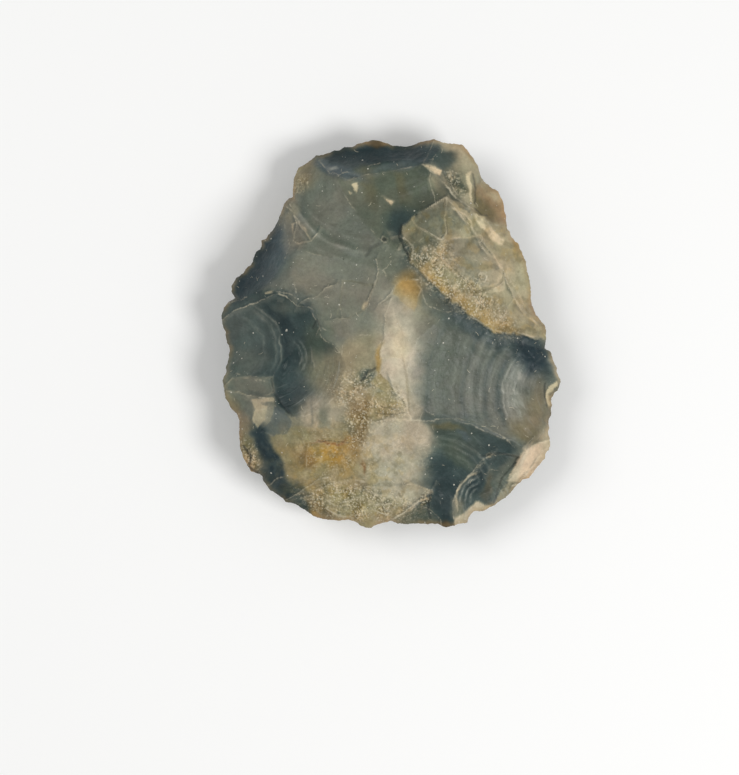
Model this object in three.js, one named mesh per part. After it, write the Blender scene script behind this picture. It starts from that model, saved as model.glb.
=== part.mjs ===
// A knapped flint hand axe, lying on a small flat of its underside.
// Millimetres, +Z up. The origin is under the middle of the outline, the narrow end points along +Y,
// and the face that carries the larger scars looks up.
//
// The body is two shallow domes that meet at one sinuous edge. Flake scars are scooped out of both
// domes: wherever two scars meet, or a scar meets the dome, they leave a sharp arris.

import * as THREE from 'three';

// Overall size
const LENGTH = 75.8;
const WIDTH = 66.1;
const THICKNESS = 24;

// Body
const EDGE_HEIGHT = 9;
const TOP_CROWN = THICKNESS - EDGE_HEIGHT;
const UNDER_CROWN = 9.5; // a little more than the edge height, which leaves a flat to rest on
const DOME_REACH = 1.13; // outline radii at which a dome would come down to the edge height
const EDGE_BLUNTNESS = 1.7; // distance over which a face swells out of the edge
const LEAST_SWELL = 0.5; // the deepest scar still leaves this much stone beside the edge plane
const EDGE_WAVES = [
  { count: 2, height: 0.9, phase: 0.6 },
  { count: 5, height: 0.5, phase: 1.0 },
];
const EDGE_WAVE_FADE = 3; // power at which they fade towards the middle

// Mesh: rings of a hexagonal disc, shared along the edge by the two faces
const RINGS = 27;
const JAG_FADE = 4; // power at which the jags of the outline fade towards the middle
const SECTORS = 6;
const SNAP_REACH = 0.42; // part of the ring spacing over which a vertex is drawn onto an arris
const NUDGE = 0.02; // step for measuring how fast the margin between two scars grows

// The outline, clockwise from the tip. Each row is one corner of the knapped edge and the bow of
// the stretch that follows it, positive where it swells outwards.
const CORNERS = [
  [8.3, 37.8, -0.1], [13.9, 36.7, 0.1], [16.9, 32.8, -0.6], [20.9, 27.6, 0.2], [22.7, 23.1, -0.2],
  [23.1, 20.4, 0.1], [25.4, 16.1, 0.2], [26.8, 12.0, -0.2], [28.3, 3.6, 0.4], [30.5, 0.5, 0.1],
  [30.0, -3.1, 0.3], [31.5, -4.0, 0.1], [33.1, -9.4, 0.2], [32.8, -11.2, -0.3], [31.5, -12.6, 0.1],
  [30.8, -18.8, 0.0], [31.3, -20.6, 0.5], [28.6, -25.8, 0.2], [27.2, -28.3, 0.0], [25.6, -28.6, -0.2],
  [22.5, -32.1, 0.3], [16.4, -35.0, -0.2], [14.9, -36.7, -0.1], [10.9, -37.8, 0.1], [9.3, -37.1, -0.1],
  [5.0, -37.4, 0.1], [0.0, -36.5, 0.1], [-3.8, -37.9, 0.1], [-7.3, -36.7, -0.1], [-13.0, -36.1, 0.3],
  [-18.6, -33.3, 0.3], [-22.9, -31.0, 0.4], [-25.0, -27.9, 0.2], [-28.1, -25.8, 0.3], [-29.5, -21.3, 0.3],
  [-29.5, -17.7, -0.2], [-30.0, -15.4, 0.1], [-31.4, -14.4, 0.1], [-32.9, -9.1, -0.2], [-31.6, -4.4, -0.2],
  [-32.9, 1.9, 0.2], [-32.5, 4.8, 0.2], [-30.6, 7.0, 0.1], [-31.4, 8.4, 0.35], [-27.1, 14.1, -0.1],
  [-25.3, 17.9, -0.4], [-21.5, 24.0, 0.3], [-19.2, 26.9, 0.1], [-18.7, 31.1, 0.2], [-17.4, 32.9, 0.2],
  [-14.5, 34.8, 0.1], [-6.9, 36.7, 0.2], [-3.4, 37.8, 0.1], [-0.9, 37.0, -0.3], [3.8, 36.9, -0.1],
];

// Flake scars of the upper face. A scar is a scoop over an ellipse: the heading runs from the struck
// end to the far end, depth is the drop in the middle, and level the drop all round its rim.
const UPPER_SCARS = {
  topBite: { x: -3.2, y: 37.5, length: 14, width: 24, heading: -88, depth: 3.2, level: 0.6 },
  upperLeft: { x: -12.5, y: 21.5, length: 21, width: 12, heading: -33, depth: 1.3, level: 0.9 },
  upperMiddle: { x: -0.8, y: 27.3, length: 16, width: 14.4, heading: -76, depth: 1.6, level: 1.2 },
  upperRight: { x: 12.8, y: 31, length: 15, width: 9, heading: -108, depth: 1.4, level: 0.5 },
  rightShoulder: { x: 20.5, y: 25, length: 11, width: 10, heading: -150, depth: 1.9, level: 0.5 },
  rightFlank: { x: 24, y: 14, length: 12, width: 30, heading: -150, depth: 1.3, level: 0.3 },
  rightHollow: { x: 19.2, y: -9, length: 31, width: 26, heading: 166, depth: 3.1, level: 0.2 },
  lowerRight: { x: 13.5, y: -28, length: 24, width: 22, heading: 122, depth: 2.6, level: 1.2 },
  lowerRightInner: { x: 17, y: -31.5, length: 13, width: 10.5, heading: 105, depth: 1.4, level: 3 },
  lowerRightEdge: { x: 29, y: -24.5, length: 6, width: 15, heading: 142, depth: 1.6, level: 1.2 },
  footEdge: { x: 6, y: -36, length: 7, width: 12, heading: 100, depth: 1.6, level: 1.2 },
  footFacet: { x: 2.5, y: -24.5, length: 21, width: 12.5, heading: 88, depth: 1.2, level: 0.2 },
  footLeft: { x: -8, y: -33, length: 11, width: 13, heading: 95, depth: 1, level: 0.4 },
  leftFoot: { x: -17.5, y: -31.5, length: 9, width: 14, heading: 60, depth: 1.6, level: 0.6 },
  lowerLeft: { x: -24, y: -21.5, length: 13, width: 17, heading: 30, depth: 2.2, level: 0.5 },
  leftNotch: { x: -28, y: -11.5, length: 10, width: 7.5, heading: 0, depth: 1.6, level: 1.2 },
  leftHollow: { x: -24.5, y: -1.5, length: 21, width: 19, heading: -5, depth: 2.8, level: 0.3 },
  leftHollowInner: { x: -17.5, y: -7.5, length: 8, width: 9, heading: -50, depth: 0.9, level: 2 },
  upperLeftEdge: { x: -26, y: 14.5, length: 9, width: 20, heading: -32, depth: 2.2, level: 0.3 },
  leftMiddle: { x: -9.5, y: 9, length: 21, width: 15, heading: -50, depth: 1, level: 0.2 },
  centrePlane: { x: -3, y: -10, length: 22, width: 13, heading: -75, depth: 0.6, level: 0 },
  plateauPlane: { x: 13.5, y: 13, length: 20, width: 13, heading: -125, depth: 0.5, level: 0 },
};

// The underside is worked more plainly: a row of large flakes driven in from the edge, a few shorter
// ones over them, and a closer row of small ones that trim the edge. Positions go round in turns of a
// circle, sizes are parts of the outline radius, and each row sways by its own amount from flake to
// flake.
const UNDER_ROWS = [
  { count: 7, start: 0.05, sway: 0.034, reach: 0.72, length: 0.68, width: 0.86, depth: 2.4, level: 0.2 },
  { count: 6, start: 0.11, sway: 0.042, reach: 0.86, length: 0.46, width: 0.5, depth: 1.9, level: 0.9 },
  { count: 14, start: 0.01, sway: 0.02, reach: 0.95, length: 0.24, width: 0.34, depth: 1.2, level: 1.5 },
];
const SWAY_STEP = 2.4; // radians between one flake's sway and the next, so that no two are alike
const SWAY_SIZE = 0.3; // part by which a swaying flake grows or shrinks
const SWAY_TURN = 60; // degrees that a flake's heading turns for a whole turn of sway

// A scar is deeper towards its struck end.
const SCAR_LEAN = 0.25;
const LEAN_LIMIT = 1.2;

const flint = new THREE.MeshStandardMaterial({ color: 0x6f7267, roughness: 0.42, metalness: 0 });

const TURN = 2 * Math.PI;
const OUTLINE_STEPS = 8; // points on each stretch between two corners
const TABLE_SIZE = 1440;
const EGG_HARMONICS = 5;

// Radius of the jagged outline against direction, as a closed table.
function outlineTable() {
  const samples = [];
  CORNERS.forEach(([x, y, bow], index) => {
    const [nextX, nextY] = CORNERS[(index + 1) % CORNERS.length];
    const run = Math.hypot(nextX - x, nextY - y);
    const outX = -(nextY - y) / run;
    const outY = (nextX - x) / run;
    for (let step = 0; step < OUTLINE_STEPS; step += 1) {
      const along = step / OUTLINE_STEPS;
      const swell = 4 * bow * along * (1 - along);
      const px = x + (nextX - x) * along + outX * swell;
      const py = y + (nextY - y) * along + outY * swell;
      samples.push({ turn: (Math.atan2(py, px) / TURN + 1) % 1, radius: Math.hypot(px, py) });
    }
  });
  samples.sort((a, b) => a.turn - b.turn);
  return samples;
}

const OUTLINE = outlineTable();

function rimRadius(angle) {
  const turn = ((angle / TURN) % 1 + 1) % 1;
  let high = OUTLINE.findIndex((sample) => sample.turn > turn);
  if (high < 0) {
    high = 0;
  }
  const before = OUTLINE[(high + OUTLINE.length - 1) % OUTLINE.length];
  const after = OUTLINE[high];
  const gap = ((after.turn - before.turn) % 1 + 1) % 1;
  const part = (((turn - before.turn) % 1 + 1) % 1) / gap;
  return before.radius + (after.radius - before.radius) * part;
}

// The smooth egg that the jagged outline follows: its first few harmonics.
function eggHarmonics() {
  const harmonics = [];
  for (let order = 0; order < EGG_HARMONICS; order += 1) {
    let cosine = 0;
    let sine = 0;
    for (let index = 0; index < TABLE_SIZE; index += 1) {
      const angle = (index / TABLE_SIZE) * TURN;
      cosine += rimRadius(angle) * Math.cos(order * angle);
      sine += rimRadius(angle) * Math.sin(order * angle);
    }
    const share = (order === 0 ? 1 : 2) / TABLE_SIZE;
    harmonics.push({ order, cosine: cosine * share, sine: sine * share });
  }
  return harmonics;
}

const EGG = eggHarmonics();

function eggRadius(angle) {
  let radius = 0;
  for (const { order, cosine, sine } of EGG) {
    radius += cosine * Math.cos(order * angle) + sine * Math.sin(order * angle);
  }
  return radius;
}

// Flakes of the underside, from its rows.
function underScars() {
  return UNDER_ROWS.flatMap((row) => Array.from({ length: row.count }, (_, index) => {
    const sway = Math.sin(index * SWAY_STEP + row.count);
    const counterSway = Math.cos(index * SWAY_STEP * 2 + row.count);
    const angle = (row.start + index / row.count + row.sway * sway) * TURN;
    const radius = eggRadius(angle);
    const reach = row.reach * radius;
    return {
      x: reach * Math.cos(angle),
      y: reach * Math.sin(angle),
      length: row.length * radius * (1 + SWAY_SIZE * counterSway),
      width: row.width * radius * (1 + SWAY_SIZE * sway),
      heading: THREE.MathUtils.radToDeg(angle) + 180 + SWAY_TURN * row.sway * counterSway,
      depth: row.depth * (1 + SWAY_SIZE * counterSway),
      level: row.level,
    };
  }));
}

// Drop that one scar makes at a point: negative outside it.
function scarDrop(scar, x, y) {
  const heading = THREE.MathUtils.degToRad(scar.heading);
  const dx = x - scar.x;
  const dy = y - scar.y;
  const along = (dx * Math.cos(heading) + dy * Math.sin(heading)) / (scar.length / 2);
  const across = (dy * Math.cos(heading) - dx * Math.sin(heading)) / (scar.width / 2);
  const lean = SCAR_LEAN * THREE.MathUtils.clamp(along, -LEAN_LIMIT, LEAN_LIMIT);
  return scar.level + scar.depth * (1 - along ** 2 - across ** 2) * (1 - lean);
}

// The deepest drop at a point, and its margin over the next. The untouched dome counts as no drop.
function deepest(scars, x, y) {
  let first = 0;
  let second = -Infinity;
  for (const scar of scars) {
    const drop = scarDrop(scar, x, y);
    if (drop > first) {
      second = first;
      first = drop;
    } else if (drop > second) {
      second = drop;
    }
  }
  return { drop: first, margin: first - second };
}

// Moves a point near an arris onto it.
function snapToArris(scars, point, reach) {
  const { margin } = deepest(scars, point.x, point.y);
  const slopeX = (deepest(scars, point.x + NUDGE, point.y).margin - margin) / NUDGE;
  const slopeY = (deepest(scars, point.x, point.y + NUDGE).margin - margin) / NUDGE;
  const slope = Math.hypot(slopeX, slopeY);
  if (margin < reach * slope) {
    point.x -= (margin * slopeX) / slope ** 2;
    point.y -= (margin * slopeY) / slope ** 2;
  }
}

function edgeHeight(angle, share) {
  let wave = 0;
  for (const { count, height, phase } of EDGE_WAVES) {
    wave += height * Math.sin(count * angle + phase);
  }
  return EDGE_HEIGHT + wave * share ** EDGE_WAVE_FADE;
}

function faceHeight(scars, crown, side, x, y) {
  const angle = Math.atan2(y, x);
  const radius = Math.hypot(x, y);
  const rim = rimRadius(angle);
  const dome = crown * (1 - (radius / (eggRadius(angle) * DOME_REACH)) ** 2);
  const swell = 1 - Math.exp(-Math.max(rim - radius, 0) / EDGE_BLUNTNESS);
  const body = Math.max(dome - deepest(scars, x, y).drop, LEAST_SWELL);
  return Math.max(edgeHeight(angle, radius / rim) + side * swell * body, 0);
}

// Directions of the points along the edge, with one on every corner of the outline.
function rimAngles(count) {
  const corners = CORNERS.map(([x, y]) => ({ angle: (Math.atan2(y, x) + TURN) % TURN, x, y }));
  corners.sort((a, b) => a.angle - b.angle);
  const runs = corners.map((corner, index) => {
    const next = corners[(index + 1) % corners.length];
    return Math.hypot(next.x - corner.x, next.y - corner.y);
  });
  const total = runs.reduce((sum, run) => sum + run, 0);
  const angles = [];
  let walked = 0;
  corners.forEach((corner, index) => {
    const start = Math.round((walked / total) * count);
    walked += runs[index];
    const end = Math.round((walked / total) * count);
    const next = index + 1 < corners.length ? corners[index + 1].angle : corners[0].angle + TURN;
    for (let step = start; step < end; step += 1) {
      angles.push(corner.angle + ((next - corner.angle) * (step - start)) / (end - start));
    }
  });
  return angles;
}

function handAxeGeometry() {
  const rimCount = SECTORS * RINGS;
  const angles = rimAngles(rimCount);
  const faces = [
    { scars: Object.values(UPPER_SCARS), crown: TOP_CROWN, side: 1 },
    { scars: underScars(), crown: UNDER_CROWN, side: -1 },
  ];
  const positions = [];
  const indices = [];
  const rows = faces.map(() => []);

  const addVertex = (x, y, z) => {
    positions.push(x, y, z);
    return positions.length / 3 - 1;
  };
  const angleAt = (share) => {
    const place = share * rimCount;
    const low = Math.floor(place) % rimCount;
    const next = low + 1 < rimCount ? angles[low + 1] : angles[0] + TURN;
    return angles[low] + (next - angles[low]) * (place - Math.floor(place));
  };

  // Vertices, ring by ring
  faces.forEach(({ scars, crown, side }, face) => {
    for (let ring = 0; ring <= RINGS; ring += 1) {
      if (ring === RINGS && face === 1) {
        rows[face].push(rows[0][RINGS]);
        break;
      }
      const count = Math.max(SECTORS * ring, 1);
      const share = ring / RINGS;
      const row = [];
      for (let index = 0; index < count; index += 1) {
        const angle = angleAt(index / count);
        const egg = eggRadius(angle);
        const radius = share * (egg + (rimRadius(angle) - egg) * share ** JAG_FADE);
        const point = new THREE.Vector2(radius * Math.cos(angle), radius * Math.sin(angle));
        if (ring < RINGS) {
          snapToArris(scars, point, (SNAP_REACH * egg) / RINGS);
        }
        row.push(addVertex(point.x, point.y, faceHeight(scars, crown, side, point.x, point.y)));
      }
      rows[face].push(row);
    }
  });

  // Triangles: each sector of a ring has one more edge outside than inside
  const addTriangle = (face, a, b, c) => {
    const turned = face === 0 ? [a, b, c] : [a, c, b];
    indices.push(...turned);
  };
  rows.forEach((rings, face) => {
    for (let ring = 1; ring <= RINGS; ring += 1) {
      const outer = rings[ring];
      const inner = rings[ring - 1];
      for (let sector = 0; sector < SECTORS; sector += 1) {
        for (let step = 0; step < ring; step += 1) {
          const outside = sector * ring + step;
          const inside = sector * (ring - 1) + step;
          const innerHere = inner[inside % inner.length];
          const outerNext = outer[(outside + 1) % outer.length];
          addTriangle(face, innerHere, outer[outside], outerNext);
          if (step < ring - 1) {
            addTriangle(face, innerHere, outerNext, inner[(inside + 1) % inner.length]);
          }
        }
      }
    }
  });

  const geometry = new THREE.BufferGeometry();
  geometry.setAttribute('position', new THREE.Float32BufferAttribute(positions, 3));
  geometry.setIndex(indices);
  return fitToSize(geometry);
}

// Brings the knapped body to its exact overall size, middle of the outline over the origin.
function fitToSize(geometry) {
  geometry.computeBoundingBox();
  const { min, max } = geometry.boundingBox;
  geometry.translate(-(min.x + max.x) / 2, -(min.y + max.y) / 2, -min.z);
  geometry.scale(WIDTH / (max.x - min.x), LENGTH / (max.y - min.y), THICKNESS / (max.z - min.z));
  geometry.computeVertexNormals();
  return geometry;
}

const handAxe = new THREE.Mesh(handAxeGeometry(), flint);
handAxe.name = 'hand_axe';

const part = new THREE.Group();
part.add(handAxe);

export default part;
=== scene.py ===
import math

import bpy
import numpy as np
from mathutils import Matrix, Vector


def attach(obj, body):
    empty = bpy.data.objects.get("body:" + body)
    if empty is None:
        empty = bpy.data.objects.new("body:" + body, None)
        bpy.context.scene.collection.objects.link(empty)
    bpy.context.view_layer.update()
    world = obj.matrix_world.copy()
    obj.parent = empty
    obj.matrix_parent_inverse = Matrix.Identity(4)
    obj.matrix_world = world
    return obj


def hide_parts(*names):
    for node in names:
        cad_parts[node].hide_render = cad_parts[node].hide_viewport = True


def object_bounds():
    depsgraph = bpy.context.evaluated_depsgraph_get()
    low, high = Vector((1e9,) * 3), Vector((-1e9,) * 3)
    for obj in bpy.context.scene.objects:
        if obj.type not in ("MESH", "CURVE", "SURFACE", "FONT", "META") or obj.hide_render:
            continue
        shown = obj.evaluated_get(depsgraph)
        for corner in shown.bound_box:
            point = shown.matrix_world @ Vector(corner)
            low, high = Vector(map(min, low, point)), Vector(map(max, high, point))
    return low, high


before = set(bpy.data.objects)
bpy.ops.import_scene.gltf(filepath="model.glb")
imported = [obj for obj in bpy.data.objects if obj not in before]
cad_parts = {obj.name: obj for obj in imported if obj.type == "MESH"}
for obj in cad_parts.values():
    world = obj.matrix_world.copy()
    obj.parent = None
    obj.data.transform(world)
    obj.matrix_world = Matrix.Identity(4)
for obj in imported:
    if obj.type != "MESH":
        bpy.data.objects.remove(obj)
cad_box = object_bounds()

# A knapped flint hand axe lying on a pale floor, seen from straight above.
# Lengths in the tables are millimetres, measured from the middle of the outline with +Y towards the
# narrow end. The finished body is brought to the box of the CAD model.

MM = 0.001
TURN = 2 * math.pi

# ---------------------------------------------------------------- form

THICKNESS = 24.0
EDGE_HEIGHT = 9.0
UPPER_CROWN = THICKNESS - EDGE_HEIGHT
UNDER_CROWN = 9.5
DOME_REACH = 1.13  # outline radii at which a dome would come down to the edge height
EDGE_BLUNTNESS = 1.7  # distance over which a face swells out of the edge
LEAST_SWELL = 0.45  # stone left beside the edge plane under the deepest scar
EDGE_WAVES = ((2, 0.9, 0.6), (5, 0.5, 1.0), (11, 0.22, 2.0), (23, 0.12, 0.4))  # count, height, phase
EDGE_WAVE_FADE = 3  # power at which the waves of the edge fade towards the middle
EDGE_SHIVERS = ((0.12, 42, 5), (0.08, 110, 6))  # finest jags of the outline: size, count a radian, seed
EGG_HARMONICS = 5  # harmonics kept in the smooth egg that the domes follow
JAG_FADE = 4  # power at which the jags of the outline fade towards the middle

UPPER_RINGS = 148
UNDER_RINGS = 104
STRETCH_STEPS = 24  # points along each stretch of the outline
SNAP_REACH = 0.42  # part of the ring spacing over which a vertex is drawn onto an arris
SLOPE_STEP = 0.02  # distance over which a slope is measured
LEAST_SLOPE = 0.05  # slopes are taken as no smaller than this where they divide
LEAST_SQUARE = 1e-6  # the same for their squares, where points are snapped

# The outline, clockwise from the tip: x, y, and the bow of the stretch that follows, outwards.
CORNERS = (
    (8.3, 37.8, -0.1), (13.9, 36.7, 0.1), (16.9, 32.8, -0.6), (20.9, 27.6, 0.2), (22.7, 23.1, -0.2),
    (23.1, 20.4, 0.1), (25.4, 16.1, 0.2), (26.8, 12, -0.2), (28.3, 3.6, 0.4), (30.5, 0.5, 0.1),
    (30, -3.1, 0.3), (31.5, -4, 0.1), (33.1, -9.4, 0.2), (32.8, -11.2, -0.3), (31.5, -12.6, 0.1),
    (30.8, -18.8, 0), (31.3, -20.6, 0.5), (28.6, -25.8, 0.2), (27.2, -28.3, 0), (25.6, -28.6, -0.2),
    (22.5, -32.1, 0.3), (16.4, -35, -0.2), (14.9, -36.7, -0.1), (10.9, -37.8, 0.1), (9.3, -37.1, -0.1),
    (5, -37.4, 0.1), (0, -36.5, 0.1), (-3.8, -37.9, 0.1), (-7.3, -36.7, -0.1), (-13, -36.1, 0.3),
    (-18.6, -33.3, 0.3), (-22.9, -31, 0.4), (-25, -27.9, 0.2), (-28.1, -25.8, 0.3), (-29.5, -21.3, 0.3),
    (-29.5, -17.7, -0.2), (-30, -15.4, 0.1), (-31.4, -14.4, 0.1), (-32.9, -9.1, -0.2), (-31.6, -4.4, -0.2),
    (-32.9, 1.9, 0.2), (-32.5, 4.8, 0.2), (-30.6, 7, 0.1), (-31.4, 8.4, 0.35), (-27.1, 14.1, -0.1),
    (-25.3, 17.9, -0.4), (-21.5, 24, 0.3), (-19.2, 26.9, 0.1), (-18.7, 31.1, 0.2), (-17.4, 32.9, 0.2),
    (-14.5, 34.8, 0.1), (-6.9, 36.7, 0.2), (-3.4, 37.8, 0.1), (-0.9, 37, -0.3), (3.8, 36.9, -0.1),
)

# Flake scars of the upper face: x, y, length, width, heading in degrees, depth, level (the drop all
# round the scar's rim).
UPPER_SCARS = {
    "top_bite": (-3.2, 37.5, 14, 24, -88, 3.2, 0.6),
    "upper_left": (-12.5, 21.5, 21, 12, -33, 1.3, 0.9),
    "upper_middle": (-0.8, 27.3, 16, 14.4, -76, 1.6, 1.2),
    "upper_right": (12.8, 31, 15, 9, -108, 1.4, 0.5),
    "right_shoulder": (20.5, 25, 11, 10, -150, 1.9, 0.5),
    "right_flank": (24, 14, 12, 30, -150, 1.3, 0.3),
    "right_hollow": (19.2, -9, 31, 26, 166, 3.1, 0.2),
    "lower_right": (13.5, -28, 24, 22, 122, 2.6, 1.2),
    "lower_right_inner": (17, -31.5, 13, 10.5, 105, 1.4, 3),
    "lower_right_edge": (29, -24.5, 6, 15, 142, 1.6, 1.2),
    "foot_edge": (6, -36, 7, 12, 100, 1.6, 1.2),
    "foot_facet": (3.2, -25, 21, 15, 88, 1.6, 0.2),
    "foot_left": (-8, -33, 11, 13, 95, 1, 0.4),
    "left_foot": (-17.5, -31.5, 9, 14, 60, 1.6, 0.6),
    "lower_left": (-24, -21.5, 13, 17, 30, 2.2, 0.5),
    "left_notch": (-28, -11.5, 10, 7.5, 0, 1.6, 1.2),
    "left_hollow": (-24.5, -1.5, 21, 19, -5, 2.8, 0.3),
    "left_hollow_inner": (-17.5, -7.5, 8, 9, -50, 0.9, 2),
    "upper_left_edge": (-26, 14.5, 9, 20, -32, 2.2, 0.3),
    "left_middle": (-9.5, 9, 21, 15, -50, 1, 0.2),
    "centre_plane": (-3, -10, 22, 13, -75, 0.6, 0),
    "plateau_plane": (13.5, 13, 20, 13, -125, 0.5, 0),
}
SCAR_LEAN = 0.25  # a scar is deeper towards its struck end
LEAN_LIMIT = 1.2

# Rows of flakes on the underside: count, start, sway, reach, length, width, depth, level. Start and
# sway are turns of the circle; reach, length and width are parts of the outline radius.
UNDER_ROWS = (
    (7, 0.05, 0.034, 0.72, 0.68, 0.86, 2.4, 0.2),
    (6, 0.11, 0.042, 0.86, 0.46, 0.5, 1.9, 0.9),
    (14, 0.01, 0.02, 0.95, 0.24, 0.34, 1.2, 1.5),
)
SWAY_STEP = 2.4  # radians by which the sway goes on from one flake of a row to the next
SWAY_SIZE = 0.3  # part by which it changes a flake's size
SWAY_HEADING = 60  # degrees by which it turns a flake, for each turn of the row's own sway

# Small flakes that trim the edge of each face: seed and count, and the ranges they are drawn from.
UPPER_TRIM_DRAW = (7, 84)
UNDER_TRIM_DRAW = (11, 78)
TRIM_SPREAD = 0.35  # how far a flake strays from its even place, as a part of their spacing
TRIM_WIDTH = (1.6, 4.6)
TRIM_LENGTH = (1.8, 5.5)
TRIM_DEPTH = (0.12, 0.55)
TRIM_NOTCH = 0.55  # deepest notch that a flake leaves in the outline
NOTCH_RARITY = 1.5  # power that makes deep notches rarer than shallow ones

# Ripples that spread over a scar from the point where it was struck: x, y, heading, wavelength,
# height and how far they show in the colour, where crests are lighter and troughs darker: partly the
# stone's banding, partly painted highlight and shade of the ripples.
RIPPLES = {
    "right_hollow": (33.5, -11.8, 175, 1.0, 0.07, 0.5),
    "left_hollow": (-30.7, -3.2, 10, 0.9, 0.07, 0.4),
    "left_hollow_inner": (-23.2, -4.8, -10, 0.6, 0.08, 0.8),
    "lower_right": (7.7, -33.1, 60, 0.8, 0.07, 0.5),
    "lower_right_inner": (18.6, -32.6, 150, 0.7, 0.14, 1.0),
    "upper_left": (-3.1, 32.9, 235, 1.6, 0.09, 0.5),
    "upper_middle": (0.5, 38.0, 270, 1.8, 0.08, 0.4),
    "top_bite": (-3.1, 40.0, 270, 1.2, 0.08, 0.3),
    "lower_left": (-31.0, -25.0, 30, 0.9, 0.08, 0.4),
    "upper_left_edge": (-32.0, 20.0, -30, 1.0, 0.07, 0.4),
    "foot_facet": (3.0, -38.0, 90, 1.6, 0.05, 0.15),
    "left_middle": (-19.0, 20.0, -50, 2.0, 0.07, 0.25),
}
UNDER_RIPPLE = (1.1, 0.10, 0.7)  # wavelength, height, colour
RIPPLE_STRETCH = 16.0  # how much longer a ripple runs than it is wide
RIPPLE_START = 6.0  # added to the run, so that ripples aren't pinched at the struck point
RIPPLE_WANDER = (0.3, 6)  # wavelengths by which noise bends the ripples, and its size
RIPPLE_FINE = (0.5, 2.1, 2)  # finer ripples on top: height, and how much finer along and across
RIPPLE_CLOUDS = (5, -0.6, 0.5)  # noise that makes ripples faint: size, and where they begin and are full
RIPPLE_CALM = 1.2  # distance from an arris over which ripples come up to full height
RIPPLE_LEAST = 0.35  # what is left of the ripples where they are faint

# Unevenness of the whole face: height, size, layers of noise.
SWELLS = (0.07, 5.0, 3)
GRAINS = (0.015, 0.9, 2)

# Crystalline, crumbly stone: sharp crests, small steps and broad terraces, laid over each other.
CREST_SIZE = 1.9
CREST_MIDDLE = 0.7
CREST_HEIGHT = 0.5
STEP_CLOUDS = (1.3, -0.1, 0.1)  # noise of the steps: size, and where a step begins and is full
STEP_HEIGHT = 0.15
TERRACES = 3.0  # terraces for each unit of noise
TERRACE_SIZE = 4.0
TERRACE_HEIGHT = 0.34
TERRACE_RISE = (0.35, 0.65)  # part of a terrace over which it rises to the next
TERRACE_EDGE = (0.82, 0.17)  # how much of a crest a terrace is, and its edge on top of that
BROKEN_CLOUDS = (2.6, -0.5, 0.5, 3)  # noise that makes the crumble faint: size, begin, full, layers
CRUMBLE_LEAST = 0.35  # what is left of it where it is faint

# ---------------------------------------------------------------- colour

PALETTE = {
    "deep_slate": (28, 44, 47),
    "deep_blue": (32, 48, 53),
    "slate": (50, 65, 64),
    "steel": (56, 69, 70),
    "blue_grey": (78, 90, 93),
    "slate_olive": (66, 77, 66),
    "dark_olive": (70, 77, 64),
    "olive": (80, 89, 73),
    "brown_olive": (96, 90, 62),
    "olive_grey": (106, 107, 90),
    "olive_tan": (142, 134, 104),
    "khaki": (156, 147, 114),
    "plateau_grey": (120, 119, 102),
    "grey": (104, 108, 95),
    "warm_grey": (124, 121, 104),
    "ripple_grey": (92, 99, 92),
    "hollow_grey": (90, 95, 86),
    "silver": (164, 164, 152),
    "ripple_light": (130, 134, 122),
    "grey_green": (90, 98, 88),
    "sand_grey": (144, 136, 108),
    "sand": (184, 173, 142),
    "tan_grey": (152, 143, 115),
    "brown_grey": (130, 116, 86),
    "brown": (154, 128, 92),
    "umber": (96, 74, 44),
    "umber_tan": (120, 100, 62),
    "ochre": (170, 132, 60),
    "ochre_dun": (160, 132, 74),
    "rust": (118, 70, 36),
    "dun": (144, 131, 90),
    "cream": (212, 194, 158),
    "cream_grey": (188, 177, 154),
    "beige": (170, 162, 139),
    "pale_beige": (186, 175, 152),
    "rose_cream": (204, 186, 156),
}
# pale lines: a painted highlight on arrises, crests and rims; the stone's own pale veins and scratches
# elsewhere
PALE_LINE_AND_HIGHLIGHT_COLOUR = (208, 198, 172)
# white specks: painted glints of light
GLINT_COLOUR = (206, 202, 188)
CRYSTAL_COLOUR = (222, 214, 190)
PIT_COLOUR = (88, 72, 46)
# dark of the cracks, undercuts and pit: painted shade
CRACK_SHADE_COLOUR = (38, 44, 42)
# ripple crests and troughs: partly the stone's banding, partly painted highlight and painted shade
RIPPLE_CREST_BAND_AND_HIGHLIGHT = (160, 165, 158)
RIPPLE_TROUGH_BAND_AND_SHADE = (44, 54, 56)

# Body colour of each upper scar, laid over the ground colour up to its arrises: colour, strength.
GROUND = "grey"
SCAR_COLOURS = {
    "top_bite": ("deep_blue", 0.8),
    "upper_left": ("grey", 0.8),
    "upper_middle": ("olive", 0.8),
    "upper_right": ("tan_grey", 0.8),
    "right_shoulder": ("brown", 0.8),
    "right_flank": ("khaki", 0.8),
    "right_hollow": ("hollow_grey", 0.9),
    "lower_right": ("slate", 0.9),
    "lower_right_inner": ("slate", 0.8),
    "lower_right_edge": ("rose_cream", 0.9),
    "foot_edge": ("slate_olive", 0.8),
    "foot_facet": ("cream_grey", 0.6),
    "foot_left": ("sand_grey", 0.8),
    "left_foot": ("dun", 0.5),
    "lower_left": ("warm_grey", 0.7),
    "left_notch": ("grey", 0.8),
    "left_hollow": ("slate", 0.85),
    "left_hollow_inner": ("deep_slate", 0.85),
    "upper_left_edge": ("deep_blue", 0.8),
    "left_middle": ("warm_grey", 0.7),
    "centre_plane": ("sand_grey", 0.7),
    "plateau_plane": ("olive_tan", 0.7),
}

UNDER_TONES = ("grey", "slate_olive", "warm_grey", "slate", "ripple_grey", "olive", "sand_grey")
UNDER_STRIDE = 3  # neighbouring scars of the underside take tones this far apart
SCAR_BLEND = 0.7  # distance from an arris over which the tones of two scars blend

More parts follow.
